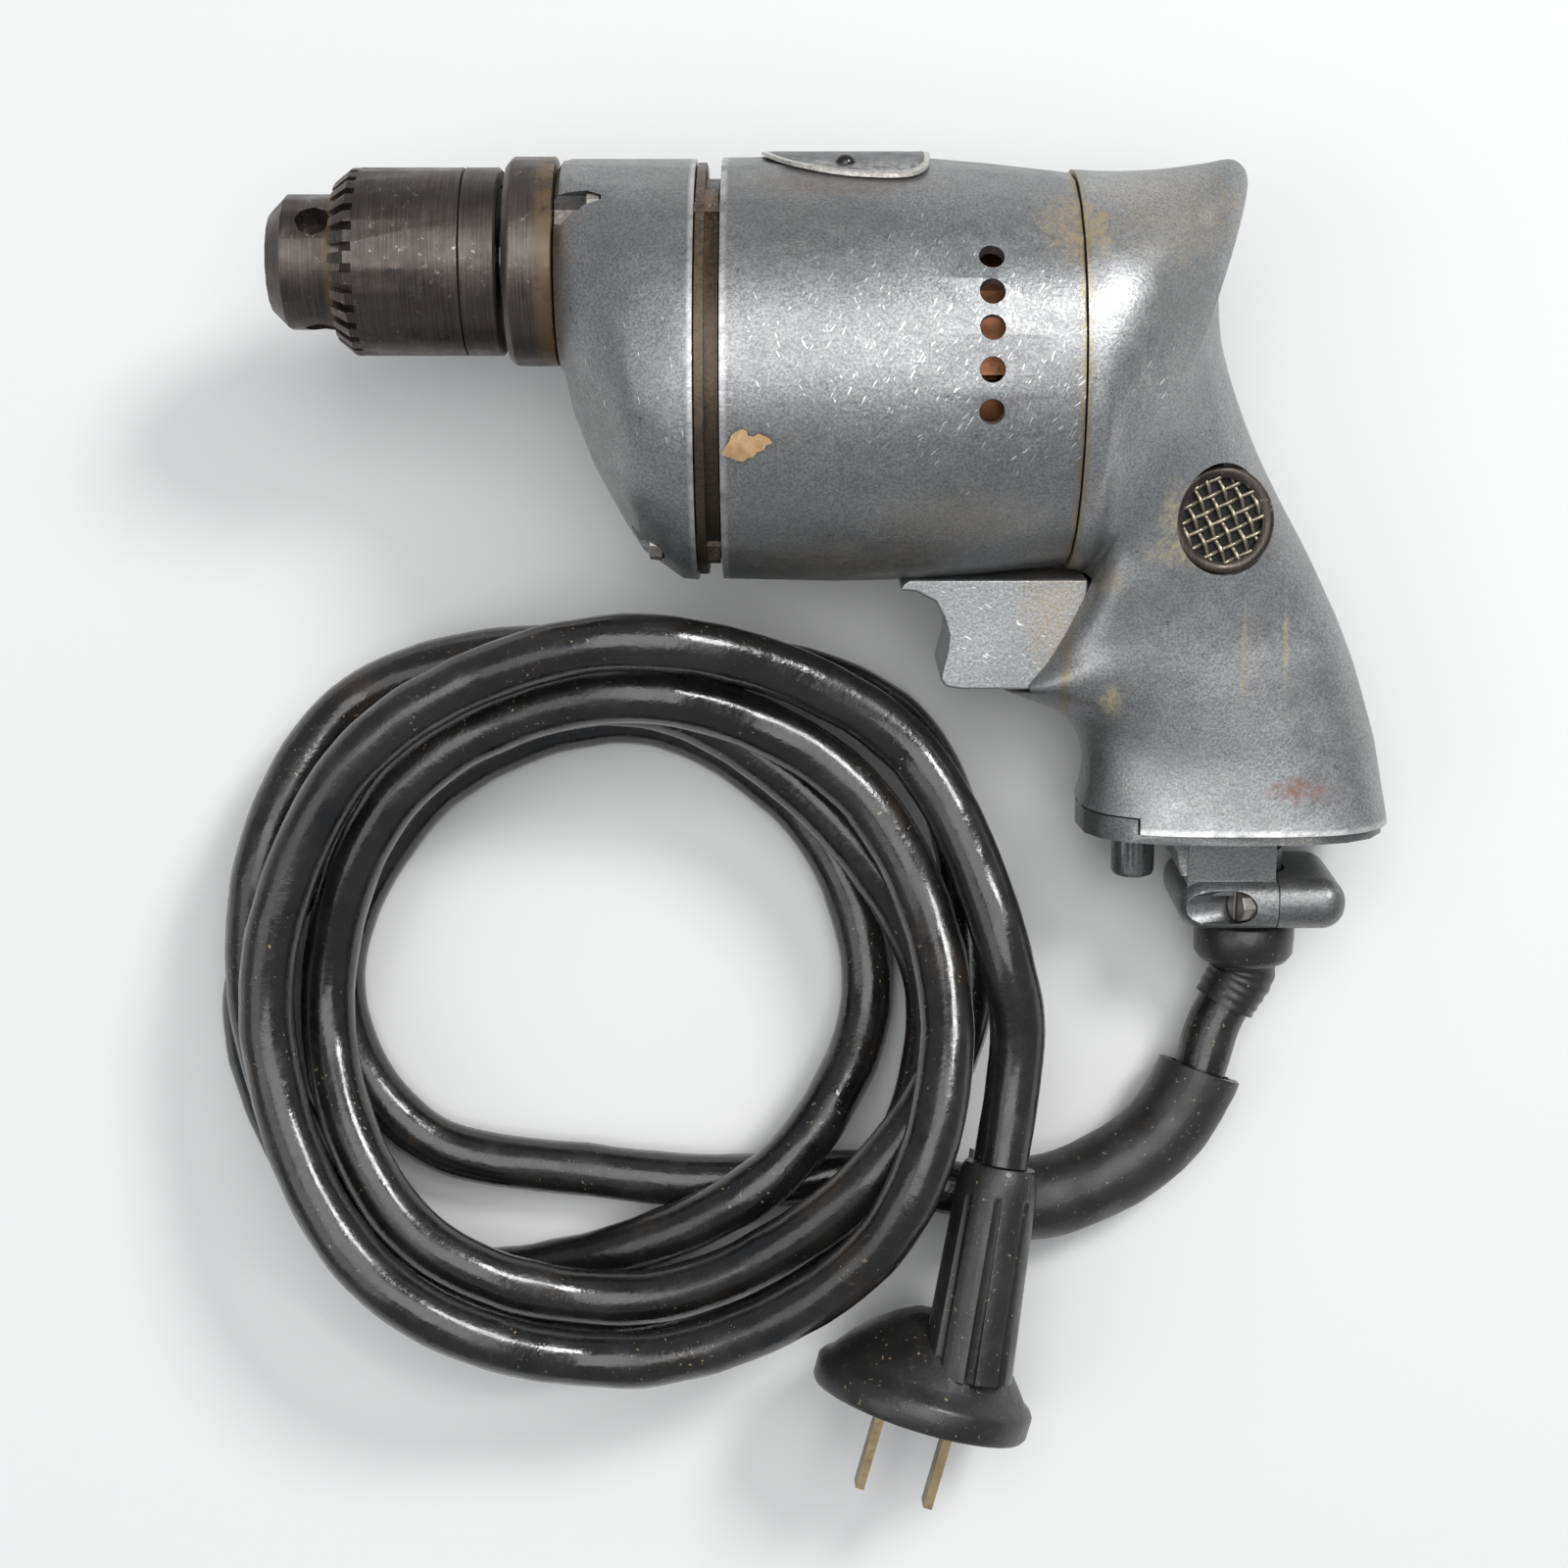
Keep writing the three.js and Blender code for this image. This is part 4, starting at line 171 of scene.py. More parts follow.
# Half outlines of the name plate, x and the way across from its middle line, and the scrap's outline in x and y
PLATE_HALF = [(7.3, 0), (8.3, 5), (11.2, 9.6), (14.4, 12), (19.2, 14.4), (25, 15.6), (31.4, 15.6), (33.6, 14.4),
              (35, 12), (35.6, 8), (35.7, 0)]
SCRAP = [(0.9, -10), (1.5, -8.9), (2.2, -8), (2.6, -6.9), (3.3, -6.3), (4.4, -5.9), (5.1, -6.2), (5.3, -7), (6.2, -7.1),
         (7, -6.6), (8, -7.1), (8.7, -7.4), (9.2, -8.2), (8.2, -8.6), (7.9, -9.3), (6.6, -9.8), (6.1, -10.6),
         (5.2, -10.7), (4.5, -11.3), (3.3, -11.1), (2.5, -10.7), (1.7, -10.5)]

TAN, BROWN, RUST, YELLOW = (0.33, 0.24, 0.13), (0.1, 0.062, 0.035), (0.2, 0.07, 0.035), (0.4, 0.32, 0.17)
# Place on the drill, size, stretch, colour and strength of each mark, in millimetres
MARKS = [
    ((58.5, 27, 23), 7, (0.8, 1.1, 1.5), TAN, 0.75), ((63, 24, 22), 4, (0.5, 1.4, 1.5), YELLOW, 0.6),
    ((76, 29, 20), 13, (1.3, 0.8, 1.5), TAN, 0.32), ((92, 30, 14), 8, (1.2, 1, 1.5), TAN, 0.3),
    ((80, -28.6, 16), 5, (1.6, 0.6, 1.5), YELLOW, 0.7), ((77.2, -21.5, 17), 4.2, (0.7, 1.4, 1.5), YELLOW, 0.65),
    ((90.6, -47, 17), 9, (0.06, 1.1, 1.5), TAN, 0.7), ((98.3, -46, 15), 7.5, (0.07, 1, 1.5), YELLOW, 0.8),
    ((68, -55.6, 14), 2.6, (0.8, 1.3, 2), YELLOW, 0.9), ((101.5, -71.4, 16), 3.4, (1.6, 0.7, 2), RUST, 0.75),
    ((67.9, 1.2, 24), 5, (0.9, 1, 1.5), (0.62, 0.6, 0.55), 0.45), ((63, -34, 18), 5, (1.2, 0.7, 1.5), TAN, 0.6),
    ((22, -31, 19), 12, (1.6, 0.5, 1.5), TAN, 0.28), ((40, -22, 28), 12, (1.4, 0.5, 1.5), TAN, 0.22),
    ((20, 32.4, 15.5), 8, (2.2, 0.26, 1.6), BROWN, 0.7), ((-27.5, 14, 15), 9, (0.2, 1.8, 2), BROWN, 0.95),
    ((-25, 24, 14), 6, (0.5, 1.2, 2), BROWN, 0.8), ((-18, -28, 12), 5, (0.7, 1, 2), BROWN, 0.55),
]
CLEAN_METAL, DIRTY_METAL = 0.8, 0.1

# Name, place, size and power of each lamp
LAMPS = [
    ("lamp_over", (0.05, 0.12, 1.5), 1.2, 14.5), ("lamp_key", (0.75, 0.7, 1.1), 0.36, 13),
    ("lamp_side", (-0.95, -0.35, 1.1), 0.9, 4),
]
LAMPS_LOOK_AT = (0, -0.03, 0)
CAMERA_PLACE = (11.1, -72, 500)
CAMERA_LENS = 61.02


def laid(x, y, z):
    """A point of the drill's own drawing, in millimetres, as it lies."""
    return LAID @ (Vector((x, y, z)) * MM)


def on_bench(x, y, z):
    """A point in millimetres on the bench, seen from where the drill's drawing has its origin."""
    return BENCH_PLACE + Vector((x, y, z)) * MM


def shift(x, y=0, z=0):
    """A move in millimetres."""
    return Matrix.Translation((x * MM, y * MM, z * MM))


def spin(degrees, axis):
    return Matrix.Rotation(math.radians(degrees), 4, axis)


# Turns a profile's axis from x to z
UPWARDS = spin(-90, "Y")


def unit(vector):
    return vector / np.linalg.norm(vector)


def run_along(line):
    """How far along a line each of its points lies."""
    return np.concatenate([[0], np.cumsum(np.linalg.norm(np.diff(line, axis=0), axis=1))])


def benched(line):
    """Points in millimetres on the bench, in metres as the scene has them."""
    return line * MM + np.array(BENCH_PLACE)


def smooth_line(points, count):
    """A centripetal curve through the points, as count + 1 evenly spaced points."""
    pts = [np.array(p, float) for p in points]
    pts = [2 * pts[0] - pts[1]] + pts + [2 * pts[-1] - pts[-2]]
    dense = []
    for a, b, c, d in zip(pts, pts[1:], pts[2:], pts[3:]):
        t = [max(np.linalg.norm(q - p), 1e-6) ** 0.5 for p, q in ((a, b), (b, c), (c, d))]
        m1 = ((b - a) / t[0] - (c - a) / (t[0] + t[1]) + (c - b) / t[1]) * t[1]
        m2 = ((c - b) / t[1] - (d - b) / (t[1] + t[2]) + (d - c) / t[2]) * t[1]
        for u in np.linspace(0, 1, 24, endpoint=False):
            dense.append((2 * u**3 - 3 * u**2 + 1) * b + (u**3 - 2 * u**2 + u) * m1
                         + (3 * u**2 - 2 * u**3) * c + (u**3 - u**2) * m2)
    dense.append(pts[-2])
    dense = np.array(dense)
    run = run_along(dense)
    at = np.linspace(0, run[-1], count + 1)
    return np.stack([np.interp(at, run, dense[:, k]) for k in range(dense.shape[1])], axis=1)


def boot_mouth():
    """Bench points of the boot's axis just before and after the end of its collar, in millimetres."""
    return [(laid(BOOT_X, -BOOT_COLLAR_END + d, 0) - BENCH_PLACE) / MM for d in (2, -2)]


def lead_line():
    """Bends of the lead, which leaves the coil and enters the boot straight."""
    end = np.array(LEAD_END, float)
    tail = unit(end - np.array(boot_mouth()[1]))
    bends = [np.array(p, float) for p in LEAD_ROUTE]
    return [bends[0], bends[0] + coil_exit_run() * CORD_R * 2, *bends[1:], end + tail * CORD_R, end]


def coil_bends():
    cx, cy = COIL_MIDDLE
    return [np.array([cx + r * math.cos(math.radians(a)), cy + r * math.sin(math.radians(a)), 0])
            for a, r in COIL_ROUTE]


def coil_exit_run():
    run = np.array(LEAD_ROUTE[1], float) - coil_bends()[-1]
    run[2] = 0
    return unit(run)


def coil_line():
    """The coil from the plug's neck down to the lead, settled so that each strand lies on those below."""
    bends = coil_bends()
    neck = unit(bends[0] - np.array([*NECK_START, 0]))
    end = np.array([*LEAD_ROUTE[0][:2], 0], float)
    straight = end - coil_exit_run() * CORD_R * 2
    plan = smooth_line([bends[0], bends[0] + neck * CORD_R * 2, *bends[1:], straight, end], COIL_STEPS)
    under = smooth_line(lead_line(), UNDER_STEPS)
    pitch = CORD_R * 2 + LAY_GAP
    step = np.linalg.norm(plan[1] - plan[0])
    apart = math.ceil(OWN_STRAND / step)
    flat = math.ceil(CORD_R * 2 / step)
    z = np.full(len(plan), CORD_R + BENCH_GAP)
    z[: flat + 1] = NECK_HEIGHT
    xy = plan[:, :2]

    def lift(i, over):
        """Raises a point of the coil until it lies on the strands that it crosses."""
        d = np.linalg.norm(over[:, :2] - xy[i], axis=1)
        near = d < pitch
        if near.any():
            z[i] = max(z[i], (over[near, 2] + np.sqrt(pitch**2 - d[near] ** 2)).max())

    for _ in range(SETTLE_ROUNDS):
        for i in range(len(plan) - 1 - apart, -1, -1):
            lift(i, under)
            lift(i, np.column_stack([xy, z])[i + apart:])
        for i in range(len(plan) - 2, -1, -1):
            z[i] = max(z[i], z[i + 1] - LAY_SLOPE * step)
        for i in range(1, len(plan)):
            z[i] = max(z[i], z[i - 1] - LAY_SLOPE * step)
    z[: flat + 1] = NECK_HEIGHT
    z[len(plan) - flat:] = LEAD_ROUTE[0][2]
    return np.column_stack([xy, z])


def whole_cord_line():
    """From the boot to the plug, in metres on the bench."""
    lead = smooth_line(lead_line(), LEAD_STEPS)[::-1]
    coil = coil_line()[::-1]
    line = np.vstack([lead, coil[1:]])
    line = smooth_line(np.vstack([line[:-1:2], line[-1:]]), CORD_STEPS)
    for _ in range(HEIGHT_ROUNDS):
        line[1:-1, 2] = (line[:-2, 2] + 2 * line[1:-1, 2] + line[2:, 2]) / 4
    # The join of lead and coil is eased further, over 18 mm to either side in full and then less and less up to 48
    run = run_along(line)
    join = run[np.argmin(np.linalg.norm(line - lead[-1], axis=1))]
    share = np.clip(1.6 - np.abs(run[1:-1] - join) / 30, 0, 1)[:, None]
    for _ in range(JOIN_ROUNDS):
        line[1:-1] += share * ((line[:-2] + 2 * line[1:-1] + line[2:]) / 4 - line[1:-1])
    return benched(line)


def deselect():
    if bpy.context.object and bpy.context.object.mode != "OBJECT":
        bpy.ops.object.mode_set(mode="OBJECT")
    bpy.ops.object.select_all(action="DESELECT")


def pick(piece):
    deselect()
    piece.select_set(True)
    bpy.context.view_layer.objects.active = piece


def open_mesh():
    """Edit mode on the active piece, with all of it selected."""
    bpy.ops.object.mode_set(mode="EDIT")
    bpy.ops.mesh.select_all(action="SELECT")


def close_mesh():
    bpy.ops.object.mode_set(mode="OBJECT")
    return bpy.context.object


def extrude(x, y, z):
    bpy.ops.mesh.extrude_region_move(TRANSFORM_OT_translate={"value": (x, y, z)})


def put_in_scene(name, data):
    piece = bpy.data.objects.new(name, data)
    bpy.context.scene.collection.objects.link(piece)
    return piece


def mesh_piece(name, points, faces):
    mesh = bpy.data.meshes.new(name)
    mesh.from_pydata([tuple(p) for p in points], [], faces)
    mesh.update()
    return put_in_scene(name, mesh)


def skin_faces(rows, count):
    """The quads between neighbouring rows of count points each."""
    return [(i * count + k, i * count + (k + 1) % count, (i + 1) * count + (k + 1) % count, (i + 1) * count + k)
            for i in range(rows - 1) for k in range(count)]


def apply_modifiers(piece):
    pick(piece)
    for modifier in list(piece.modifiers):
        bpy.ops.object.modifier_apply(modifier=modifier.name)


def settle(piece, matrix):
    """Lays a piece in its place, with the place kept in its mesh."""
    pick(piece)
    piece.matrix_world = matrix
    bpy.ops.object.transform_apply(location=True, rotation=True, scale=True)


def tidy(piece, merge=0.00001, angle=35):
    """Merges doubles unless merge is 0, faces outwards and smooths all but the sharp edges."""
    pick(piece)
    open_mesh()
    if merge:
        bpy.ops.mesh.remove_doubles(threshold=merge)
    bpy.ops.mesh.normals_make_consistent(inside=False)
    close_mesh()
    bpy.ops.object.shade_smooth_by_angle(angle=math.radians(angle))
    return piece


def soften(piece, width, segments=2, angle=32):
    bevel = piece.modifiers.new("soft edges", "BEVEL")
    bevel.width = width * MM
    bevel.segments = segments
    bevel.limit_method = "ANGLE"
    bevel.angle_limit = math.radians(angle)
    apply_modifiers(piece)


def even_shading(piece):
    """Smooths all but the sharp edges, with the large faces kept flat to the eye."""
    pick(piece)
    bpy.ops.object.shade_smooth_by_angle(angle=math.radians(35))
    even = piece.modifiers.new("even shading", "WEIGHTED_NORMAL")
    even.weight = 80
    even.keep_sharp = True
    apply_modifiers(piece)


def finished_copy(node, width, change=None):
    """A merged copy of a CAD node with its flat triangles joined and its edges softened."""
    piece = FRAME["nodes"][node].copy()
    piece.data = piece.data.copy()
    piece.name = node + "_finished"
    piece.parent = None
    piece.matrix_world = Matrix.Identity(4)
    bpy.context.scene.collection.objects.link(piece)
    pick(piece)
    open_mesh()
    bpy.ops.mesh.remove_doubles(threshold=0.000002)
    bpy.ops.mesh.dissolve_limited(angle_limit=math.radians(0.6))
    close_mesh()
    if change:
        change(piece)
    soften(piece, width)
    even_shading(piece)
    return piece


def laid_casting(piece, width):
    """Softens a casting that is drawn here and lays it in place."""
    soften(piece, width, 2, 34)
    even_shading(piece)
    settle(piece, LAID)
    return piece


def turned(name, profile, steps, at=Matrix.Identity(4), smooth=40):
    """A ring drawn out along x through a profile of (along, radius) in millimetres, then laid in place."""
    deselect()
    closed = profile[0] == profile[-1]
    rows = [(x * MM, r * MM) for x, r in (profile[:-1] if closed else profile)]
    bpy.ops.mesh.primitive_circle_add(vertices=steps, radius=rows[0][1], location=(0, 0, 0))
    open_mesh()
    bpy.ops.transform.translate(value=(0, 0, rows[0][0]))
    if not closed:
        bpy.ops.mesh.edge_face_add()
    for (x0, r0), (x1, r1) in zip(rows, rows[1:] + ([rows[0]] if closed else [])):
        extrude(0, 0, x1 - x0)
        bpy.ops.transform.resize(value=(r1 / r0, r1 / r0, 1), center_override=(0, 0, x1))
    piece = close_mesh()
    piece.name = name
    settle(piece, at @ spin(90, "Y"))
    return tidy(piece, angle=smooth)


def drawn_slab(name, outline, low, high):
    """An outline in millimetres, traced corner by corner in x and y, filled and raised from low to high."""
    deselect()
    bpy.ops.mesh.primitive_plane_add(size=MM, location=(0, 0, 0))
    open_mesh()
    bpy.ops.mesh.merge(type="CENTER")
    bpy.ops.transform.translate(value=(outline[0][0] * MM, outline[0][1] * MM, low * MM))
    for (x0, y0), (x1, y1) in zip(outline, outline[1:]):
        extrude((x1 - x0) * MM, (y1 - y0) * MM, 0)
    bpy.ops.mesh.select_all(action="SELECT")
    bpy.ops.mesh.edge_face_add()
    extrude(0, 0, (high - low) * MM)
    bpy.ops.mesh.select_all(action="SELECT")
    bpy.ops.mesh.normals_make_consistent(inside=False)
    piece = close_mesh()
    piece.name = name
    return piece


def brick(low, high):
    """A box between two corners in millimetres, used to cut others."""
    deselect()
    middle = [(a + b) / 2 * MM for a, b in zip(low, high)]
    bpy.ops.mesh.primitive_cube_add(size=1, location=middle, scale=[(b - a) * MM for a, b in zip(low, high)])
    bpy.ops.object.transform_apply(location=True, rotation=True, scale=True)
    return bpy.context.object


def cut_with(piece, tool, kind="DIFFERENCE"):
    """Takes the tool away from a piece, keeps their common part or adds it, and removes the tool."""
    step = piece.modifiers.new("cut", "BOOLEAN")
    step.operation = kind
    step.solver = "EXACT"
    step.object = tool
    apply_modifiers(piece)
    bpy.data.objects.remove(tool)


def frames_along(line):
    """Two steady side directions at each point of a line."""
    line = [Vector(p) for p in line]
    out = []
    side = Vector((0, 0, 1))
    for i, p in enumerate(line):
        run = (line[min(i + 1, len(line) - 1)] - line[max(i - 1, 0)]).normalized()
        side = (side - run * side.dot(run)).normalized()
        out.append((p, side, run.cross(side)))
    return out


def lumpy_point(middle, a, b, turn, radius, lumps, scale):
    """A point of a ring between the side directions a and b, moved in or out by noise."""
    out = a * math.cos(turn) + b * math.sin(turn)
    point = middle + out * radius
    return point + out * (lumps * noise.noise(point * scale))


def tube(name, line, radius, sides, lumps):
    """A round tube along a line in metres, with a UV map that follows its length."""
    points, uvs = [], []
    rings = frames_along(line)
    for i, (p, a, b) in enumerate(rings):
        r = radius(i / (len(rings) - 1)) if callable(radius) else radius
        points += [lumpy_point(p, a, b, math.tau * k / sides, r, lumps, 160) for k in range(sides)]
    run = 0.0
    for here, beyond in zip(rings, rings[1:]):
        length = (beyond[0] - here[0]).length
        for k in range(sides):
            u0, u1 = k / sides, (k + 1) / sides
            uvs += [(u0, run), (u1, run), (u1, run + length), (u0, run + length)]
        run += length
    uvs += [(0, 0)] * (2 * sides)
    last = (len(rings) - 1) * sides
    caps = [tuple(reversed(range(sides))), tuple(range(last, last + sides))]
    piece = mesh_piece(name, points, skin_faces(len(rings), sides) + caps)
    layer = piece.data.uv_layers.new(name="along")
    for loop, uv in zip(layer.data, uvs):
        loop.uv = uv
    return tidy(piece, 0, 50)


class Surface:
    """One material's node tree, with short calls for the nodes that it needs."""

    def __init__(self, name, drawn=False):
        self.material = bpy.data.materials.new(name)
        self.material.use_nodes = True
        self.tree = self.material.node_tree
        self.tree.nodes.clear()
        self.shader = self.add("BsdfPrincipled")
        self.add("OutputMaterial", {0: self.shader.outputs[0]})
        self.place = self.add("TexCoord").outputs["Object"]
        if drawn:
            self.place = self.moved((math.degrees(LAY_TILT), 0, 0), shift=tuple(LAY_PLACE))

    def fill(self, node, inputs):
        """Links a node's inputs to other nodes' outputs or sets them to values, where colours may leave out alpha."""
        for key, value in inputs.items():
            socket = node.inputs[key]
            if isinstance(value, bpy.types.NodeSocket):
                self.tree.links.new(value, socket)
            elif isinstance(value, (tuple, list)) and len(value) < len(socket.default_value):
                socket.default_value = (*value, 1.0)
            else:
                socket.default_value = value

    def add(self, kind, inputs=(), **choices):
        """A node with its choices made, and its inputs linked to other nodes or set to values."""
        node = self.tree.nodes.new("ShaderNode" + kind)
        for name, value in choices.items():
            setattr(node, name, value)
        self.fill(node, dict(inputs))
        return node

    def moved(self, turn=(0, 0, 0), scale=(1, 1, 1), shift=(0, 0, 0)):
        """The pattern's place after it is shifted back, turned back in degrees and multiplied."""
        inputs = {"Vector": self.place, "Rotation": [math.radians(a) for a in turn],
                  "Scale": [1 / k for k in scale], "Location": shift}
        return self.add("Mapping", inputs, vector_type="TEXTURE").outputs[0]

    def noise(self, scale, detail=4.0, rough=0.55, warp=0.0, at=None):
        inputs = {"Vector": at or self.place, "Scale": scale, "Detail": detail, "Roughness": rough,
                  "Distortion": warp}
        return self.add("TexNoise", inputs).outputs["Fac"]

    def span(self, value, low, high, to_low=0.0, to_high=1.0):
        return self.add("MapRange", enumerate((value, low, high, to_low, to_high)), clamp=True).outputs[0]

    def patches(self, scale, detail, rough, low, high, to_low=0.0, to_high=1.0):
        """Noise with its values from low to high spread over another range."""
        return self.span(self.noise(scale, detail, rough), low, high, to_low, to_high)

    def sum(self, kind, a, b):
        return self.add("Math", {0: a, 1: b}, operation=kind).outputs[0]

    def times(self, a, b):
        return self.sum("MULTIPLY", a, b)

    def mix(self, share, a, b):
        return self.add("Mix", {0: share, 6: a, 7: b}, data_type="RGBA").outputs[2]

    def speckled(self, color, tint, share, *patches):
        """The colour with a share of another in patches."""
        return self.mix(self.times(self.patches(*patches), share), color, tint)

    def spot(self, point, radius, stretch, ragged=0.5):
        """1 inside a ragged patch round a point, in millimetres."""
        away = self.moved(scale=[1 / (radius * MM * s) for s in stretch], shift=[c * MM for c in point])
        far = self.add("VectorMath", {0: away}, operation="LENGTH").outputs["Value"]
        edge = self.patches(420, 6, 0.7, 0.25, 0.75, -ragged, ragged)
        return self.span(self.sum("ADD", far, edge), 0.55, 1.15, 1.0, 0.0)

    def band(self, axis, low, high, blur):
        """1 between two places along an axis, in metres."""
        value = self.add("SeparateXYZ", {0: self.place}).outputs["XYZ".index(axis)]
        rise = self.span(value, low - blur, low + blur)
        fall = self.span(value, high - blur, high + blur, 1.0, 0.0)
        return self.times(rise, fall)

    def bump(self, height, distance, strength, after=None):
        inputs = {"Strength": strength, "Distance": distance, "Height": height}
        if after:
            inputs["Normal"] = after
        return self.add("Bump", inputs).outputs[0]

    def finish(self, color, rough, metal=0.0, normal=None, coat=0.0, specular=0.5):
        self.fill(self.shader, {"Base Color": color, "Roughness": rough, "Metallic": metal, "Coat Weight": coat,
                                "Specular IOR Level": specular})
        if normal:
            self.fill(self.shader, {"Normal": normal})
        return self.material


def shade(tone, share):
    return tuple(min(1.0, c * share) for c in tone)


def wear(piece, material):
    piece.data.materials.clear()
    piece.data.materials.append(material)


def dress(piece, material, slot, *nodes, body="drill_body"):
    """Gives a piece its surface and its body, and lets it stand for the CAD nodes. The slot is not used."""
    wear(piece, material)
    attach(piece, body)
    if nodes:
        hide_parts(*nodes)


def dress_node(name, material):
    node = FRAME["nodes"][name]
    if not node.material_slots:
        node.data.materials.append(material)
    for slot in node.material_slots:
        slot.link = "OBJECT"
        slot.material = material


def cast_metal(name, tone, stains=(), scratches=(), grime=0.5, seams=()):
    """Bare cast alloy: fine-grained and satin, with tan dust, brown stains, worn edges and bright scratches."""
    s = Surface(name, drawn=True)
    color = s.mix(s.patches(2300, 2, 0.6, 0.38, 0.62), shade(tone, 0.76), shade(tone, 1.25))
    color = s.mix(s.patches(42, 4, 0.6, 0.38, 0.66, 0, 0.45), color, shade(tone, 0.62))
    dust = s.times(s.patches(1500, 3, 0.62, 0.56, 0.66), s.patches(46, 4, 0.62, 0.45, 0.66))
    color = s.mix(s.times(dust, grime), color, (0.36, 0.32, 0.24))
    color = s.speckled(color, (0.07, 0.062, 0.055), 0.5, 760, 3, 0.6, 0.66, 0.72)
    rough = s.patches(300, 4, 0.6, 0.3, 0.75, 0.33, 0.5)
    dull = None
    flecks = s.patches(850, 4, 0.7, 0.36, 0.62, 0.12, 1.0)
    for point, radius, stretch, tint, strength in stains:
        share = s.times(s.times(s.spot(point, radius, stretch), flecks), strength)
        color = s.mix(share, color, tint)
        dull = s.sum("MAXIMUM", dull, share) if dull else share
    for axis, low, high, tint, strength in seams:
        share = s.times(s.band(axis, low * MM, high * MM, 0.0003), s.patches(330, 4, 0.7, 0.3, 0.6))
        color = s.mix(s.times(share, strength), color, tint)
    for middle, reach, turn, amount in scratches:
        strokes = s.noise(1, 1, 0.4, 0, s.moved((0, 0, turn), (2600, 420, 500)))
        share = s.span(strokes, 0.8 - amount, 0.83 - amount)
        share = s.times(share, s.spot(middle, reach, (1.5, 1, 1), 0.35))
        color = s.mix(share, color, (0.88, 0.88, 0.86))
        rough = s.sum("SUBTRACT", rough, s.times(share, 0.1))
    metal = s.span(dull, 0.0, 1.0, CLEAN_METAL, DIRTY_METAL) if dull else CLEAN_METAL
    normal = s.bump(s.noise(1500, 3, 0.6), 0.00007, 0.8)
    normal = s.bump(s.noise(120, 4, 0.6), 0.00018, 0.35, normal)
    return s.finish(color, rough, metal, normal)


def dark_steel(name, tone, greasy=None):
    """Browned steel with fine turning marks, speckles and a band of old grease."""
    s = Surface(name)
    color = s.mix(s.patches(70, 5, 0.6, 0.35, 0.65), shade(tone, 0.6), tone)
    rings = s.noise(1, 2, 0.5, 0, s.moved(scale=(5200, 90, 90)))
    color = s.mix(s.span(rings, 0.4, 0.7, 0.0, 0.5), color, shade(tone, 1.9))
    bare = s.times(s.patches(700, 5, 0.7, 0.6, 0.68), s.patches(120, 3, 0.55, 0.45, 0.6))
    color = s.mix(s.times(bare, 0.7), color, (0.36, 0.33, 0.3))
    color = s.speckled(color, (0.11, 0.055, 0.03), 0.55, 300, 5, 0.7, 0.6, 0.72)
    rough = s.patches(260, 4, 0.55, 0.3, 0.7, 0.26, 0.5)
    metal = CLEAN_METAL
    if greasy:
        share = s.times(s.band("X", *greasy, 0.0008), s.patches(420, 5, 0.7, 0.35, 0.5))
        color = s.mix(share, color, (0.1, 0.062, 0.03))
        metal = s.span(share, 0, 1, CLEAN_METAL, DIRTY_METAL)
    return s.finish(color, rough, metal, s.bump(s.noise(1100, 4), 0.00006, 0.6))


def plain_metal(name, tone, rough, grime=(0.09, 0.065, 0.045)):
    s = Surface(name)
    color = s.mix(s.patches(220, 5, 0.6, 0.35, 0.65), shade(tone, 0.7), tone)
    color = s.mix(s.patches(520, 5, 0.7, 0.56, 0.7, 0, 0.7), color, grime)
    roughness = s.patches(300, 4, 0.55, 0.3, 0.7, rough - 0.08, rough + 0.12)
    return s.finish(color, roughness, 0.85, s.bump(s.noise(1200, 3), 0.00005, 0.6))


def moulded(name, tone, rough):
    s = Surface(name)
    color = s.mix(s.patches(90, 4, 0.55, 0.35, 0.65), shade(tone, 0.75), tone)
    return s.finish(color, rough, 0.0, s.bump(s.noise(700, 4), 0.00008, 0.5))


def cord_rubber():
    """Aged glossy rubber: black, with faint brown streaks, tan specks and fine cracks."""
    s = Surface("cord rubber")
    color = s.mix(s.patches(60, 4, 0.55, 0.35, 0.65), (0.006, 0.006, 0.006), (0.016, 0.015, 0.014))
    streak = s.span(s.noise(34, 5, 0.7, 1.2), 0.58, 0.7)
    color = s.mix(s.times(streak, 0.35), color, (0.05, 0.032, 0.02))
    dust = s.times(s.patches(1150, 3, 0.6, 0.66, 0.71), s.patches(40, 3, 0.55, 0.48, 0.62, 0.05, 0.9))
    color = s.mix(dust, color, (0.4, 0.3, 0.18))
    rough = s.patches(120, 5, 0.65, 0.38, 0.7, 0.16, 0.42)
    normal = s.bump(s.noise(190, 5, 0.6), 0.0005, 0.5)
    normal = s.bump(s.noise(1500, 3), 0.00006, 0.6, normal)
    return s.finish(color, rough, 0.0, normal, coat=0.25)


def dull_rubber(name, tone=(0.013, 0.0125, 0.012), rough=(0.3, 0.56)):
    s = Surface(name)
    color = s.mix(s.patches(80, 5, 0.55, 0.35, 0.65), tone, shade(tone, 1.7))
    color = s.speckled(color, (0.09, 0.07, 0.052), 0.3, 260, 6, 0.7, 0.57, 0.74)
    color = s.speckled(color, (0.36, 0.27, 0.17), 0.6, 1200, 3, 0.55, 0.67, 0.72)
    normal = s.bump(s.noise(420, 6, 0.7), 0.00028, 0.5)
    return s.finish(color, s.patches(150, 4, 0.55, 0.3, 0.7, *rough), 0.0, normal, coat=0.12)


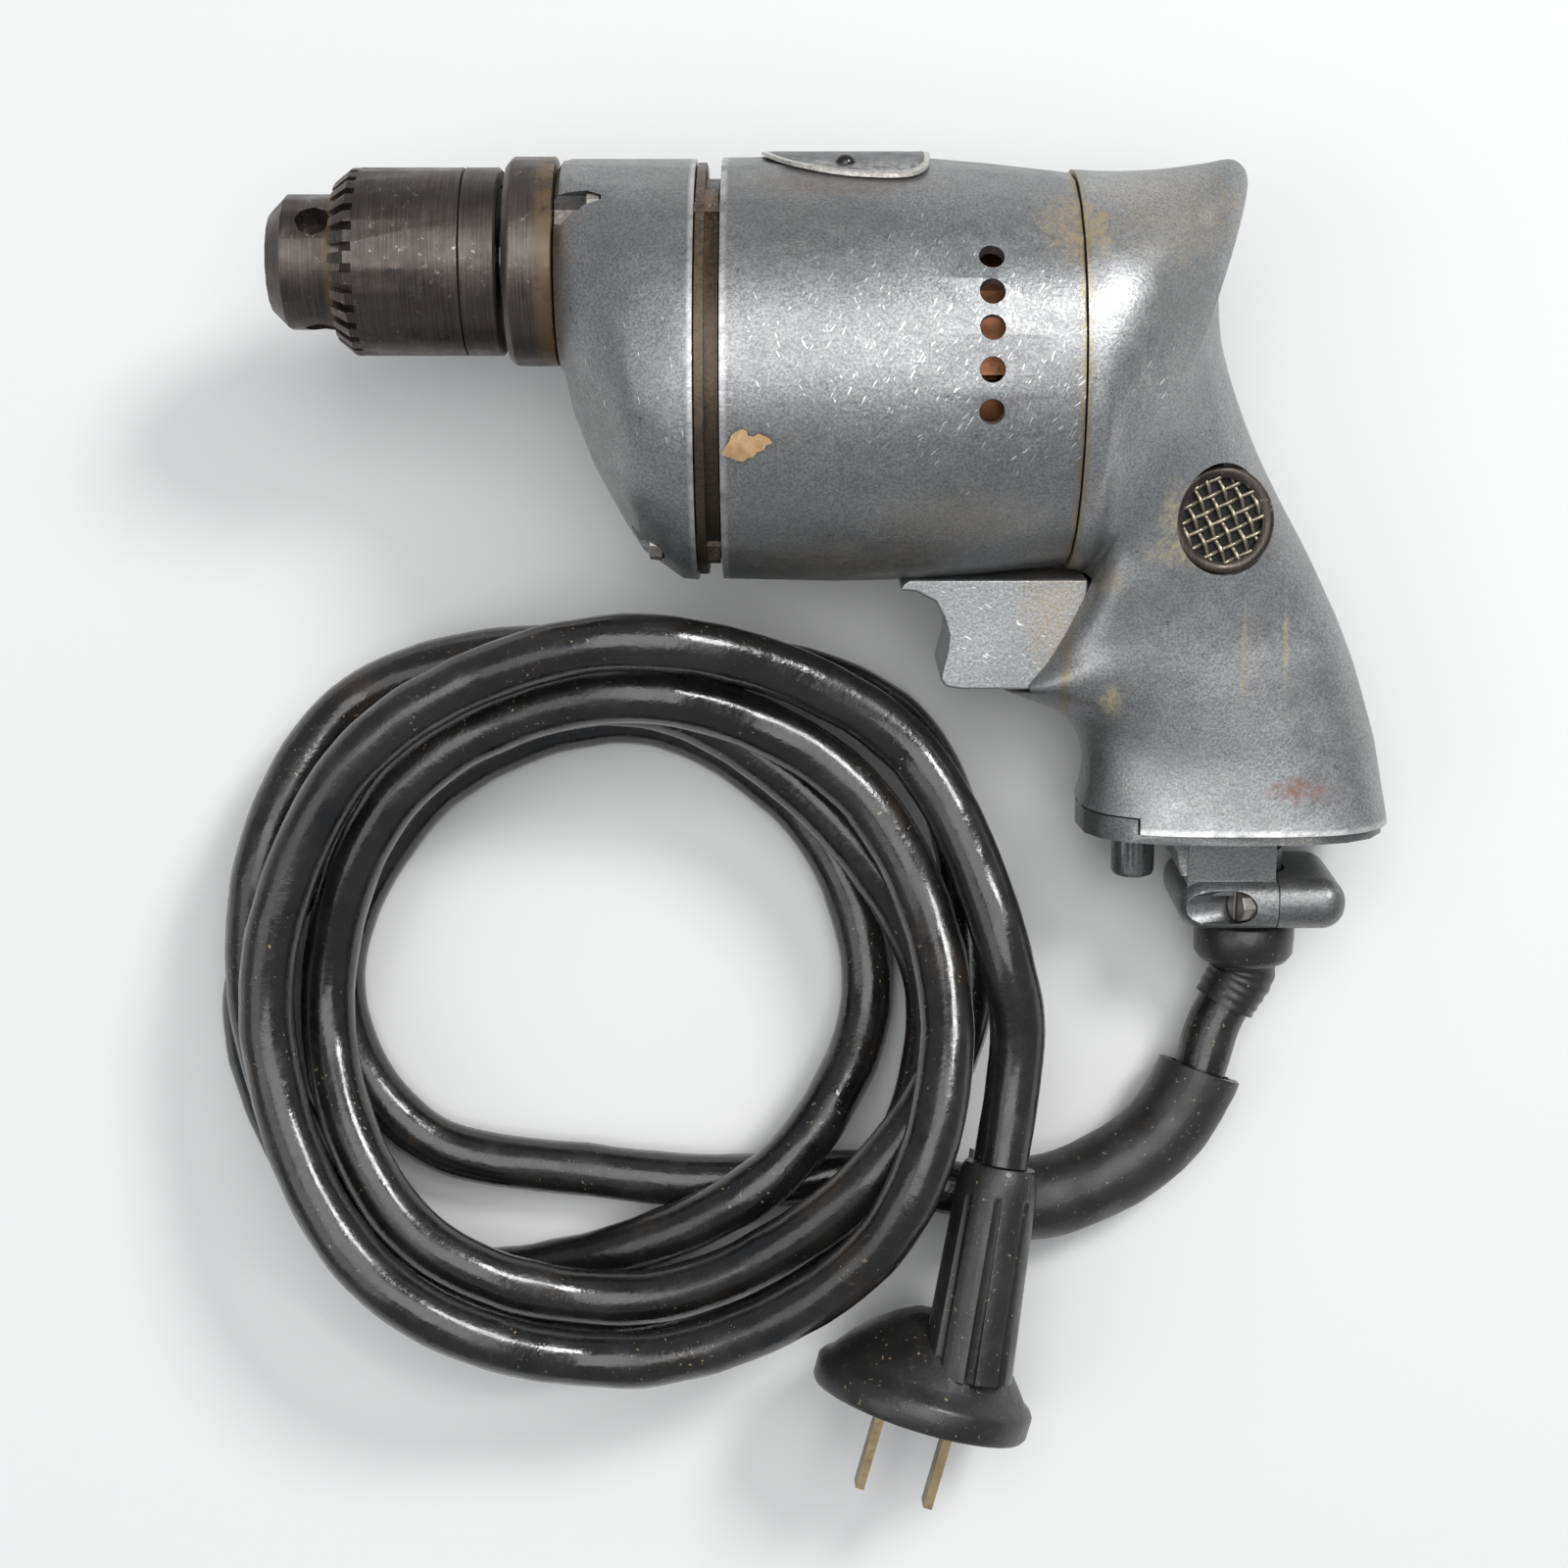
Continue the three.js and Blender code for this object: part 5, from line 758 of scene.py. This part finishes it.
def old_paper():
    s = Surface("kraft paper")
    color = s.mix(s.patches(420, 5, 0.7, 0.35, 0.65), (0.3, 0.17, 0.08), (0.5, 0.34, 0.18))
    return s.finish(color, 0.9, 0.0, s.bump(s.noise(1500, 4), 0.0001, 0.8))


def tone_setting(name, description, default):
    return bpy.props.FloatVectorProperty(name=name, description=description, subtype="COLOR", size=3, min=0, max=1,
                                         default=default)


def length_setting(name, description, default):
    return bpy.props.FloatProperty(name=name, description=description, default=default, unit="LENGTH")


class DrillSettings(bpy.types.PropertyGroup):
    """Sizes and colours of the drill's looks."""

    cast_tone: tone_setting("Cast metal", "Colour of the bare castings", (0.262, 0.268, 0.27))
    steel_tone: tone_setting("Chuck steel", "Colour of the browned steel", (0.075, 0.064, 0.058))
    edge_round: bpy.props.FloatProperty(
        name="Edge rounding", description="Width of the softened edges of the castings", default=0.4,
        min=0.05, max=1.0)
    cord_diameter: length_setting("Cord diameter", "Outer diameter of the lead", 0.01)
    mesh_pitch: length_setting("Mesh pitch", "Spacing of the wires in the vent screens", 0.0023)
    mesh_wire: length_setting("Mesh wire", "Diameter of a wire in the vent screens", 0.00078)
    floor_tone: tone_setting("Bench", "Colour of the bench", (0.69, 0.69, 0.684))


def settings():
    return bpy.context.scene.drill_settings


class DRILL_OT_stage(bpy.types.Operator):
    """Adds the pale bench, soft lamps and the camera above"""

    bl_idname = "drill.stage"
    bl_label = "Stage"

    def execute(self, context):
        deselect()
        bpy.ops.mesh.primitive_plane_add(size=6, location=(0, 0, 0))
        bench = context.object
        bench.name = "bench_top"
        s = Surface("bench top")
        bench.data.materials.append(s.finish(tuple(settings().floor_tone), 0.9, 0.0, specular=0.1))
        for name, place, size, power in LAMPS:
            light = bpy.data.lights.new(name, "AREA")
            light.size = size
            light.energy = power
            lamp = put_in_scene(name, light)
            lamp.location = place
            lamp.rotation_euler = (Vector(LAMPS_LOOK_AT) - Vector(place)).to_track_quat("-Z", "Y").to_euler()
        world = bpy.data.worlds.new("pale room")
        world.use_nodes = True
        world.node_tree.nodes["Background"].inputs[0].default_value = (0.86, 0.9, 0.96, 1)
        world.node_tree.nodes["Background"].inputs[1].default_value = 0.34
        context.scene.world = world
        camera = bpy.data.cameras.new("camera")
        camera.sensor_width = 36
        camera.lens = CAMERA_LENS
        camera.clip_end = 10
        context.scene.camera = put_in_scene("camera", camera)
        context.scene.camera.location = on_bench(*CAMERA_PLACE)
        context.scene.view_settings.view_transform = "Standard"
        return {"FINISHED"}


class DRILL_OT_cord(bpy.types.Operator):
    """Makes the lead and its coil as one cord from the boot to the plug"""

    bl_idname = "drill.cord"
    bl_label = "Cord"

    def execute(self, context):
        line = whole_cord_line()
        radius = settings().cord_diameter / 2
        cord = tube("cord", line, radius * SKIN_SHARE, 16, 0.00022)
        dress(cord, cord_rubber(), "cord_rubber", "cord_lead", "cord_coil")
        length = float(np.linalg.norm(np.diff(line, axis=0), axis=1).sum())
        return {"FINISHED"}


class DRILL_OT_hose(bpy.types.Operator):
    """Makes the split rubber hose that guards the lead"""

    bl_idname = "drill.hose"
    bl_label = "Cord guard"

    def execute(self, context):
        start, end = (int(share * HOSE_STEPS) for share in HOSE_RUN)
        rings = frames_along(benched(smooth_line(lead_line(), HOSE_STEPS)[start:end]))
        sides, slit = 26, math.radians(15)
        points, faces = [], []
        for i, (p, a, b) in enumerate(rings):
            for r in (HOSE_OUTER * MM, HOSE_INNER * MM):
                for k in range(sides + 1):
                    t = HOSE_SLIT_AT + slit / 2 + (math.tau - slit) * k / sides
                    q = lumpy_point(p, a, b, t, r, 0.0002, 220)
                    if i in (0, len(rings) - 1):
                        q += (rings[1][0] - rings[0][0]).normalized() * 0.0009 * noise.noise(q * 400)
                    points.append(q)
        span = 2 * (sides + 1)
        loop = list(range(sides + 1)) + [sides + 1 + k for k in range(sides, -1, -1)]
        for i in range(len(rings) - 1):
            for m, n in zip(loop, loop[1:] + loop[:1]):
                faces.append((i * span + m, i * span + n, (i + 1) * span + n, (i + 1) * span + m))
        for i in (0, len(rings) - 1):
            for a in range(i * span, i * span + sides):
                faces.append((a, a + 1, a + sides + 2, a + sides + 1))
        hose = tidy(mesh_piece("cord_hose", points, faces), FINE_MERGE, 45)
        dress(hose, dull_rubber("guard rubber"), "dull_rubber", "cord_guard")
        return {"FINISHED"}


class DRILL_OT_boot(bpy.types.Operator):
    """Makes the rubber boot where the lead leaves the clamp"""

    bl_idname = "drill.boot"
    bl_label = "Boot"

    def execute(self, context):
        collar = turned("boot_collar", BOOT_PROFILE, 48, LAID @ shift(BOOT_X) @ spin(90, "Z"), 50)
        tail_line = benched(smooth_line([*map(tuple, boot_mouth()), LEAD_END], 30))
        tail = tube("boot_tail", tail_line, lambda t: (6.1 - 0.35 * t + 0.12 * math.sin(t * 40)) * MM, 24, 0.0002)
        for piece in (collar, tail):
            rubber = dull_rubber(piece.name + " rubber", (0.011, 0.0105, 0.01), (0.24, 0.48))
            dress(piece, rubber, "dull_rubber", "strain_relief_boot")
        return {"FINISHED"}


class DRILL_OT_plug(bpy.types.Operator):
    """Makes the moulded plug with its fluted neck"""

    bl_idname = "drill.plug"
    bl_label = "Plug"

    def execute(self, context):
        at = Matrix.Translation(on_bench(*PLUG_PLACE)) @ spin(PLUG_TURN, "Z") @ spin(90, "Z")
        shell = turned("plug_shell", PLUG_PROFILE, 96, at, 45)
        start = on_bench(*NECK_START, NECK_HEIGHT)
        first = coil_bends()[0]
        run = on_bench(first[0], first[1], NECK_HEIGHT) - start
        long = run.length / MM
        along = Matrix.Translation(start) @ run.to_track_quat("X", "Z").to_matrix().to_4x4()
        neck = turned("plug_neck", [(0, 8.2), (long * 0.88, 7.2), (long * 0.96, 6.9), (long * 0.994, 6.2)],
                      48, along, 50)
        for k in range(FLUTES):
            turn = Matrix.Rotation(math.tau * k / FLUTES, 4, "X")
            cut_with(neck, turned("flute", [(-2, 1.1), (long * 0.84, 0.9), (long * 0.87, 0.4)], 10,
                                  along @ turn @ shift(0, 0, 8.3) @ spin(1, "Y"), 50))
        cut_with(shell, neck, "UNION")
        soften(shell, 0.5, 2, 40)
        bpy.ops.object.shade_smooth_by_angle(angle=math.radians(45))
        dress(shell, dull_rubber("plug rubber", (0.012, 0.0115, 0.011), (0.26, 0.5)), "dull_rubber", "plug_body")
        blade = plain_metal("old brass", (0.24, 0.185, 0.11), 0.38)
        for name in ("plug_blade_1", "plug_blade_2"):
            dress_node(name, blade)
        return {"FINISHED"}


def vent_lean():
    """From a vent's own drawing, z out of its face, to its place on the drill's upper side."""
    axis = Vector((-math.sin(VENT_LEAN_TO), math.cos(VENT_LEAN_TO), 0))
    return Matrix.Translation(Vector(VENT_MIDDLE) * MM) @ Matrix.Rotation(VENT_LEAN, 4, axis)


def housing_solid(name, inset, rows, count, grow=0.0):
    """The housing's sections, joined into one closed body, each drawn in by the inset."""
    points = []
    for i, (x0, y0, x1, y1, half, inner, outer) in enumerate(smooth_line(HOUSING_ROWS, rows)):
        if inset > 2 and x0 < JOINT_X:
            share = (JOINT_X - x0) / (x1 - x0)
            x0, y0 = JOINT_X, y0 + share * (y1 - y0)
        reach = np.array([x1 - x0, y1 - y0])
        length = np.linalg.norm(reach) / 2 - inset
        reach = unit(reach)
        shifted = grow * np.array([-1 if i == 0 else 0, -1 if i == rows else 0])
        for k in range(count):
            c, w = math.cos(math.tau * k / count), math.sin(math.tau * k / count)
            power = 2 / (outer if c > 0 else inner)
            along = math.copysign(abs(c) ** power * length, c)
            across = math.copysign(abs(w) ** power * (half - inset), w)
            x, y = np.array([x0 + x1, y0 + y1]) / 2 + reach * along + shifted
            points.append((x * MM, y * MM, across * MM))
    ends = [tuple(range(count)), tuple(range(rows * count, (rows + 1) * count))]
    piece = mesh_piece(name, points, skin_faces(rows + 1, count) + ends)
    ease_flank(piece)
    return tidy(piece, FINE_MERGE)


def skin_of(piece):
    """The piece's skin, for rays."""
    mesh = piece.data
    return BVHTree.FromPolygons([v.co for v in mesh.vertices], [tuple(p.vertices) for p in mesh.polygons])


def eased(grid, share, spread):
    """The grid blurred over the cells that the share names."""
    reach = np.arange(-3 * spread, 3 * spread + 1)
    bell = np.exp(-reach ** 2 / (2 * spread ** 2))
    for axis in (0, 1):
        grid, share = (np.apply_along_axis(np.convolve, axis, g, bell / bell.sum(), "same") for g in (grid, share))
    return grid / np.maximum(share, 0.001), share


def ease_flank(piece):
    """Blends the horn's flank into the grip's in one soft hollow, on both sides."""
    skin = skin_of(piece)
    left, low, wide, high = FLANK_GRID
    grid = np.zeros((wide, high))
    for i in range(wide):
        for j in range(high):
            hit = skin.ray_cast(Vector((left + i, low + j, RAYS_FROM_Z)) * MM, Vector((0, 0, -1)))[0]
            grid[i, j] = hit.z / MM if hit else 0
    grid, inside = eased(grid, (grid > 0).astype(float), 4)
    foot, head = np.array(FLANK_FOOT), np.array(FLANK_HEAD)
    along = unit(head - foot)
    for v in piece.data.vertices:
        x, y, z = v.co / MM
        i, j = int(x - left), int(y - low)
        if not (0 <= i < wide - 1 and 0 <= j < high - 1):
            continue
        a, b = x - left - i, y - low - j
        mix = np.outer((1 - b, b), (1 - a, a)).ravel()
        cells = (i, i + 1, i, i + 1), (j, j, j + 1, j + 1)
        from_foot = np.array((x, y)) - foot
        run, off = from_foot @ along, abs(from_foot[0] * along[1] - from_foot[1] * along[0])
        # How far the flank is eased: not at the outline, nor far off the line from foot to head, nor past its ends
        share = np.clip(((mix @ inside[cells] - 0.8) / 0.18, (16 - off) / 9, (run - 1) / 12, (52 - run) / 18), 0, 1)
        share = np.prod(share * share * (3 - 2 * share))
        v.co.z = math.copysign(abs(z) * (1 - share) + mix @ grid[cells] * share, z) * MM


def keep_wall(hollow, body):
    """Holds the hollow back from the body's skin, so that the casting has a wall everywhere."""
    skin = skin_of(body)
    for v in hollow.data.vertices:
        for _ in range(2):
            hit = skin.ray_cast(Vector((RAYS_FROM_X * MM, v.co.y, v.co.z)), Vector((-1, 0, 0)))[0]
            if hit:
                v.co.x = min(v.co.x, hit.x - LEAST_WALL * MM)
            hit = skin.ray_cast(Vector((v.co.x, v.co.y, RAYS_FROM_Z * MM)), Vector((0, 0, -1)))[0]
            room = max(hit.z - LEAST_WALL * MM, 0) if hit else 0
            v.co.z = math.copysign(min(abs(v.co.z), room), v.co.z)


def rounder_holes(piece):
    """Opens the casing's air holes again with round edges."""
    for turn in (*AIR_HOLES, *(180 - angle for angle in AIR_HOLES)):
        at = LAID @ shift(AIR_HOLE_X) @ spin(-turn, "X") @ UPWARDS
        cut_with(piece, turned("hole", [(29, AIR_HOLE_R), (40, AIR_HOLE_R)], 40, at))


def cord_way():
    """A rod where the cord runs through the clamp and the neck above it."""
    return turned("cord_way", [(80, CORD_WAY_R), (100, CORD_WAY_R)], 64, shift(BOOT_X) @ spin(-90, "Z"))


def clamp_half(name, front, back):
    """One half of the cord clamp: a rounded bar with its screws' slanting channels."""
    bar = brick(*CLAMP_BAR)
    bar.name = name
    soften(bar, 4.3, 8)
    cut_with(bar, brick((front, -99.5, -13.5), (back, -89, 13.5)), "INTERSECT")
    cut_with(bar, cord_way())
    for side in (1, -1):
        at = Matrix.Translation(Vector((91.976, -94.15, side * 10.92)) * MM) @ spin(side * 24, "Y")
        cut_with(bar, turned("screw_way", SCREW_WAY, 48, at))
    return bar


def rounder_foot(piece):
    """Turns the base cap's post and clamp round and flares the neck where it leaves the plate."""
    for low, high in SQUARE_POST_AND_CLAMP:
        tool = brick(low, high)
        settle(tool, LAID)
        cut_with(piece, tool)
    neck = brick(*NECK)
    cut_with(neck, cord_way())
    bracket = clamp_half("bracket", *BRACKET_X)
    flare = drawn_slab("flare", FLARE, -9, 9)
    for part in (neck, bracket, flare):
        settle(part, LAID)
    post = turned("post", POST_PROFILE, 48, LAID @ shift(POST_X) @ spin(-90, "Z"))
    for part in (neck, bracket, post, flare):
        cut_with(piece, part, "UNION")


def grip_housing():
    """The cast housing with its trigger mouth, rooms, vent seats and foot."""
    body = housing_solid("rear_housing_finished", 0, 132, 96)
    hollow = housing_solid("hollow", 3.2, 44, 48, 0.4)
    keep_wall(hollow, body)
    cut_with(body, hollow)
    web = brick(*WEB)
    cut_with(web, housing_solid("inner", 1, 44, 48), "INTERSECT")
    cut_with(body, web, "UNION")
    cut_with(body, drawn_slab("mouth", MOUTH, -34.4, 34.4))
    for low, high in ROOMS:
        cut_with(body, brick(low, high))
    cut_with(body, turned("seat", [(61, 11.3), (67, 11.3)], 48))
    for side in (1, -1):
        at = Matrix.Diagonal((1, 1, side, 1)) @ vent_lean() @ UPWARDS
        cut_with(body, turned("vent_seat", [(-2.3, 9.6), (9.6, 9.6)], 96, at))
        cut_with(body, turned("vent_bore", [(-10, 7.2), (3.2, 7.2)], 64, at))
    return body


class DRILL_OT_castings(bpy.types.Operator):
    """Finishes the bare castings of the body"""

    bl_idname = "drill.castings"
    bl_label = "Castings"

    def execute(self, context):
        tone = tuple(settings().cast_tone)
        width = settings().edge_round
        bright = (0.66, 0.66, 0.64)
        scratches = [((40, 9, 35), 22, -28, 0.1), ((12, 6, 35), 13, 24, 0.075), ((46, -2, 35), 16, -50, 0.08)]
        joint = ("X", 59.2, 61.2, (0.3, 0.24, 0.14), 0.75)
        body = cast_metal("casing metal", tone, MARKS, scratches, 0.6, [("X", -0.4, 1.6, bright, 0.6), joint])
        grip = cast_metal("grip metal", shade(tone, 1.2), MARKS, [((70, 4, 24), 8, -40, 0.07)], 0.7,
                          [("Y", -79.7, -78.6, bright, 0.85), joint])
        nose = cast_metal("gear case metal", tone, MARKS, [((-9, 2, 34), 13, 12, 0.07)], 0.5,
                          [("X", -4.6, -3.2, bright, 0.75)])
        foot = cast_metal("foot metal", shade(tone, 0.72), MARKS, (), 1.0)
        # The gear plate shows only in the groove between casing and gear case: its very dark brown tone is partly old
        # grease and partly painted shade of the groove
        ring = cast_metal("groove metal", (0.075, 0.06, 0.045), [((-2, 20, 30), 30, (1, 1, 1), BROWN, 0.9)], (), 0.9)
        worn = cast_metal("trigger metal", shade(tone, 1.5),
                          [((58, -40, 6), 9, (0.7, 1.4, 2), TAN, 0.55)], [((46, -44, 8), 12, 64, 0.09)], 0.35)
        for node, metal, change in (
            ("motor_casing", body, rounder_holes), ("rear_housing", grip, None), ("gear_case", nose, None),
            ("gear_plate", ring, None), ("base_cap", foot, rounder_foot), ("cord_clamp_cap", foot, None),
        ):
            if node == "rear_housing":
                piece = laid_casting(grip_housing(), width)
            elif node == "cord_clamp_cap":
                piece = laid_casting(clamp_half("cord_clamp_cap_finished", *CAP_X), width)
            else:
                piece = finished_copy(node, width, change)
            dress(piece, metal, "cast_body", node)
        dress(finished_copy("trigger", width * 2.4), worn, "worn_cast", "trigger", body="trigger")
        return {"FINISHED"}


class DRILL_OT_chuck(bpy.types.Operator):
    """Finishes the chuck, its jaws and the collar behind it"""

    bl_idname = "drill.chuck"
    bl_label = "Chuck"

    def execute(self, context):
        tone = tuple(settings().steel_tone)
        front, rear = laid(NOSE_X, 0, 0).x, laid(COLLAR_X, 0, 0).x
        steel = dark_steel("chuck steel", tone, (front - 0.001, front + 0.0005))
        collar = dark_steel("collar steel", shade(tone, 1.2), (rear - 0.0025, rear + 0.002))
        jaw = plain_metal("jaw steel", (0.3, 0.28, 0.26), 0.34)
        for node, body, metal, width in (
            ("chuck_body", "chuck", steel, 0.3), ("chuck_sleeve", "sleeve", steel, 0.25),
            ("bearing_collar", "drill_body", collar, 0.3),
            *((f"chuck_jaw_{k}", f"jaw_{k}", jaw, 0.15) for k in (1, 2, 3)),
        ):
            slot = "steel" if "jaw" in node else "gunmetal"
            dress(finished_copy(node, width), metal, slot, node, body=body)
        return {"FINISHED"}


class DRILL_OT_vents(bpy.types.Operator):
    """Weaves the wire screens of the two vents into their rims, with a black disc of painted shade behind each"""

    bl_idname = "drill.vents"
    bl_label = "Vent screens"

    def execute(self, context):
        rim_metal = dark_steel("vent rim", (0.06, 0.05, 0.042))
        wire_metal = plain_metal("vent wire", (0.4, 0.35, 0.27), 0.3, (0.12, 0.075, 0.035))
        # Painted shade: the black disc behind each screen stands for the dark inside of the housing
        painted_shade = moulded("vent dark", (0.012, 0.011, 0.01), 0.9)
        for side, node in ((1, "vent_screen_left"), (-1, "vent_screen_right")):
            at = LAID @ Matrix.Diagonal((1, 1, side, 1)) @ vent_lean()
            rim = turned(node + "_rim", RIM_PROFILE, 64, at @ UPWARDS, 45)
            net = self.woven(node + "_net", settings().mesh_pitch, settings().mesh_wire)
            settle(net, at @ spin(23, "Z"))
            tidy(net, 0.0000001, 60)
            # A black disc behind the wires: painted shade of the housing's inside
            shade_disc = turned(node + "_painted_shade", [(-1.95, 7.6), (-1.75, 7.6)], 40, at @ UPWARDS, 45)
            for piece, metal in ((rim, rim_metal), (net, wire_metal), (shade_disc, painted_shade)):
                dress(piece, metal, "vent_mesh", node)
        return {"FINISHED"}

    def woven(self, name, pitch, wire):
        """One waved wire, copied over and under in a square weave, each copy cut to the rim."""
        reach, level = 7.5 * MM, -1.2 * MM
        wave = [(pitch * (i / 4 - 5), wire * 0.52 * math.cos(math.pi * (i / 4 - 5))) for i in range(41)]
        deselect()
        bpy.ops.mesh.primitive_circle_add(vertices=8, radius=wire / 2, location=(0, 0, 0), rotation=(0, math.pi / 2, 0))
        bpy.ops.object.transform_apply(location=True, rotation=True, scale=True)
        open_mesh()
        bpy.ops.transform.translate(value=(wave[0][0], 0, wave[0][1] + level))
        for (x0, z0), (x1, z1) in zip(wave, wave[1:]):
            extrude(x1 - x0, 0, z1 - z0)
        first = close_mesh()
        copies = []
        for turn in (0, 1):
            for row in range(-3, 4):
                pick(first)
                bpy.ops.object.duplicate()
                copy = bpy.context.object
                beside = pitch * ((row + turn) % 2)
                settle(copy, Matrix.Rotation(turn * math.pi / 2, 4, "Z")
                       @ Matrix.Translation((beside, row * pitch, 0)))
                half = math.sqrt(reach**2 - (row * pitch) ** 2)
                run = (0, 1, 0) if turn else (1, 0, 0)
                open_mesh()
                for end in (1, -1):
                    bpy.ops.mesh.select_all(action="SELECT")
                    bpy.ops.mesh.bisect(plane_co=[c * half * end for c in run], plane_no=[c * end for c in run],
                                        clear_outer=True, use_fill=True)
                copies.append(close_mesh())
        bpy.data.objects.remove(first)
        deselect()
        for copy in copies:
            copy.select_set(True)
        bpy.context.view_layer.objects.active = copies[0]
        bpy.ops.object.join()
        copies[0].name = name
        return copies[0]


class DRILL_OT_nameplate(bpy.types.Operator):
    """Adds the bare name plate on the barrel's top, its rivets and a scrap of old paper"""

    bl_idname = "drill.nameplate"
    bl_label = "Name plate"

    def wrapped(self, name, outline, inner, outer, turn):
        """A sheet round the barrel, cut to an outline that looks straight down on it."""
        low, high = min(p[0] for p in outline) - 1, max(p[0] for p in outline) + 1
        inner, outer = CASING_R + inner, CASING_R + outer
        sheet = turned(name, [(low, inner), (low, outer), (high, outer), (high, inner), (low, inner)], 256, smooth=30)
        tool = drawn_slab("outline", outline, 8, CASING_R + 4)
        settle(tool, Matrix.Rotation(turn, 4, "X"))
        cut_with(sheet, tool, "INTERSECT")
        settle(sheet, LAID)
        return tidy(sheet, FINE_MERGE, 30)

    def execute(self, context):
        half = smooth_line([(x, CASING_R * math.sin(s / CASING_R), 0) for x, s in PLATE_HALF], 40)
        edge = [(p[0], p[1]) for p in half] + [(p[0], -p[1]) for p in half[-2:0:-1]]
        middle = sum(p[0] for p in edge) / len(edge)
        field = [(middle + (x - middle) * 0.93, y * 0.93) for x, y in edge]
        up = -math.pi / 2
        plate = self.wrapped("name_plate", edge, 0.03, 0.62, up)
        soften(plate, 0.12, 2, 50)
        bare = cast_metal("plate metal", (0.6, 0.59, 0.55), [((24, 33.5, 14), 9, (1.6, 0.4, 1.6), BROWN, 0.4)])
        dress(plate, bare, "cast_body")
        inlay = self.wrapped("plate_field", field, 0.3, 0.67, up)
        rubbed = [((x, 34.5, 12), 4, (long, 0.5, 1.6), (0.5, 0.5, 0.47), 0.6) for x, long in ((17, 1.6), (29, 1.8))]
        dress(inlay, cast_metal("plate black", (0.11, 0.115, 0.12), rubbed), "cast_body")
        for angle in (74, 106):
            a, radius = math.radians(angle), CASING_R + 0.55
            at = (LAID @ Matrix.Translation(Vector((21.4, radius * math.sin(a), radius * math.cos(a))) * MM)
                  @ spin(-angle, "X") @ UPWARDS)
            rivet = turned(f"plate_rivet_{angle}", RIVET_PROFILE, 28, at, 60)
            dress(rivet, moulded(f"rivet black {angle}", (0.015, 0.013, 0.012), 0.22), "cast_body")
        scrap = self.wrapped("paper_scrap", SCRAP, 0.01, 0.16, 0)
        dress(scrap, old_paper(), "cast_body")
        return {"FINISHED"}


class DRILL_OT_screws(bpy.types.Operator):
    """Finishes the screws and gives every inner piece its surface"""

    bl_idname = "drill.screws"
    bl_label = "Screws and inner pieces"

    def execute(self, context):
        screw = plain_metal("screw steel", (0.33, 0.31, 0.28), 0.38, (0.12, 0.07, 0.04))
        for node in FRAME["nodes"]:
            if "screw" in node:
                dress(finished_copy(node, 0.2), screw, "steel", node)
        steel = plain_metal("turned steel", (0.42, 0.41, 0.4), 0.34)
        finishes = {
            "steel": steel,
            "bronze": plain_metal("bearing bronze", (0.42, 0.29, 0.14), 0.45),
            "copper": plain_metal("varnished copper", (0.42, 0.19, 0.1), 0.42),
            "laminate": plain_metal("sheet stack", (0.16, 0.16, 0.17), 0.5),
            "brass": plain_metal("holder brass", (0.42, 0.32, 0.16), 0.4),
            "carbon": moulded("brush carbon", (0.03, 0.03, 0.03), 0.7),
            "phenolic": moulded("brown moulding", (0.12, 0.06, 0.035), 0.5),
            "worn_cast": cast_metal("fan metal", (0.45, 0.44, 0.42)),
        }
        slots = {row["node"]: row["material_slot"] for row in FRAME["record"]["subparts"]}
        for name, node in FRAME["nodes"].items():
            if not node.hide_render and not name.startswith("plug_blade"):
                dress_node(name, finishes.get(slots.get(name), steel))
        return {"FINISHED"}


class DRILL_PT_panel(bpy.types.Panel):
    """Lists the drill's sizes, colours and pieces"""

    bl_label = "Drill"
    bl_space_type = "VIEW_3D"
    bl_region_type = "UI"
    bl_category = "Drill"

    def draw(self, context):
        for prop in DrillSettings.__annotations__:
            self.layout.prop(context.scene.drill_settings, prop)
        for operator in OPERATORS:
            self.layout.operator(operator.bl_idname)


OPERATORS = (
    DRILL_OT_stage, DRILL_OT_hose, DRILL_OT_boot, DRILL_OT_plug, DRILL_OT_cord, DRILL_OT_castings,
    DRILL_OT_chuck, DRILL_OT_vents, DRILL_OT_nameplate, DRILL_OT_screws,
)
CLASSES = (DrillSettings, *OPERATORS, DRILL_PT_panel)


def register():
    for one in CLASSES:
        bpy.utils.register_class(one)
    bpy.types.Scene.drill_settings = bpy.props.PointerProperty(type=DrillSettings)


def unregister():
    del bpy.types.Scene.drill_settings
    for one in reversed(CLASSES):
        bpy.utils.unregister_class(one)


def main():
    register()
    bpy.ops.drill.stage()
    bpy.ops.drill.hose()
    bpy.ops.drill.boot()
    bpy.ops.drill.plug()
    bpy.ops.drill.cord()
    bpy.ops.drill.castings()
    bpy.ops.drill.chuck()
    bpy.ops.drill.vents()
    bpy.ops.drill.nameplate()
    bpy.ops.drill.screws()
    deselect()


if __name__ == "__main__":
    main()
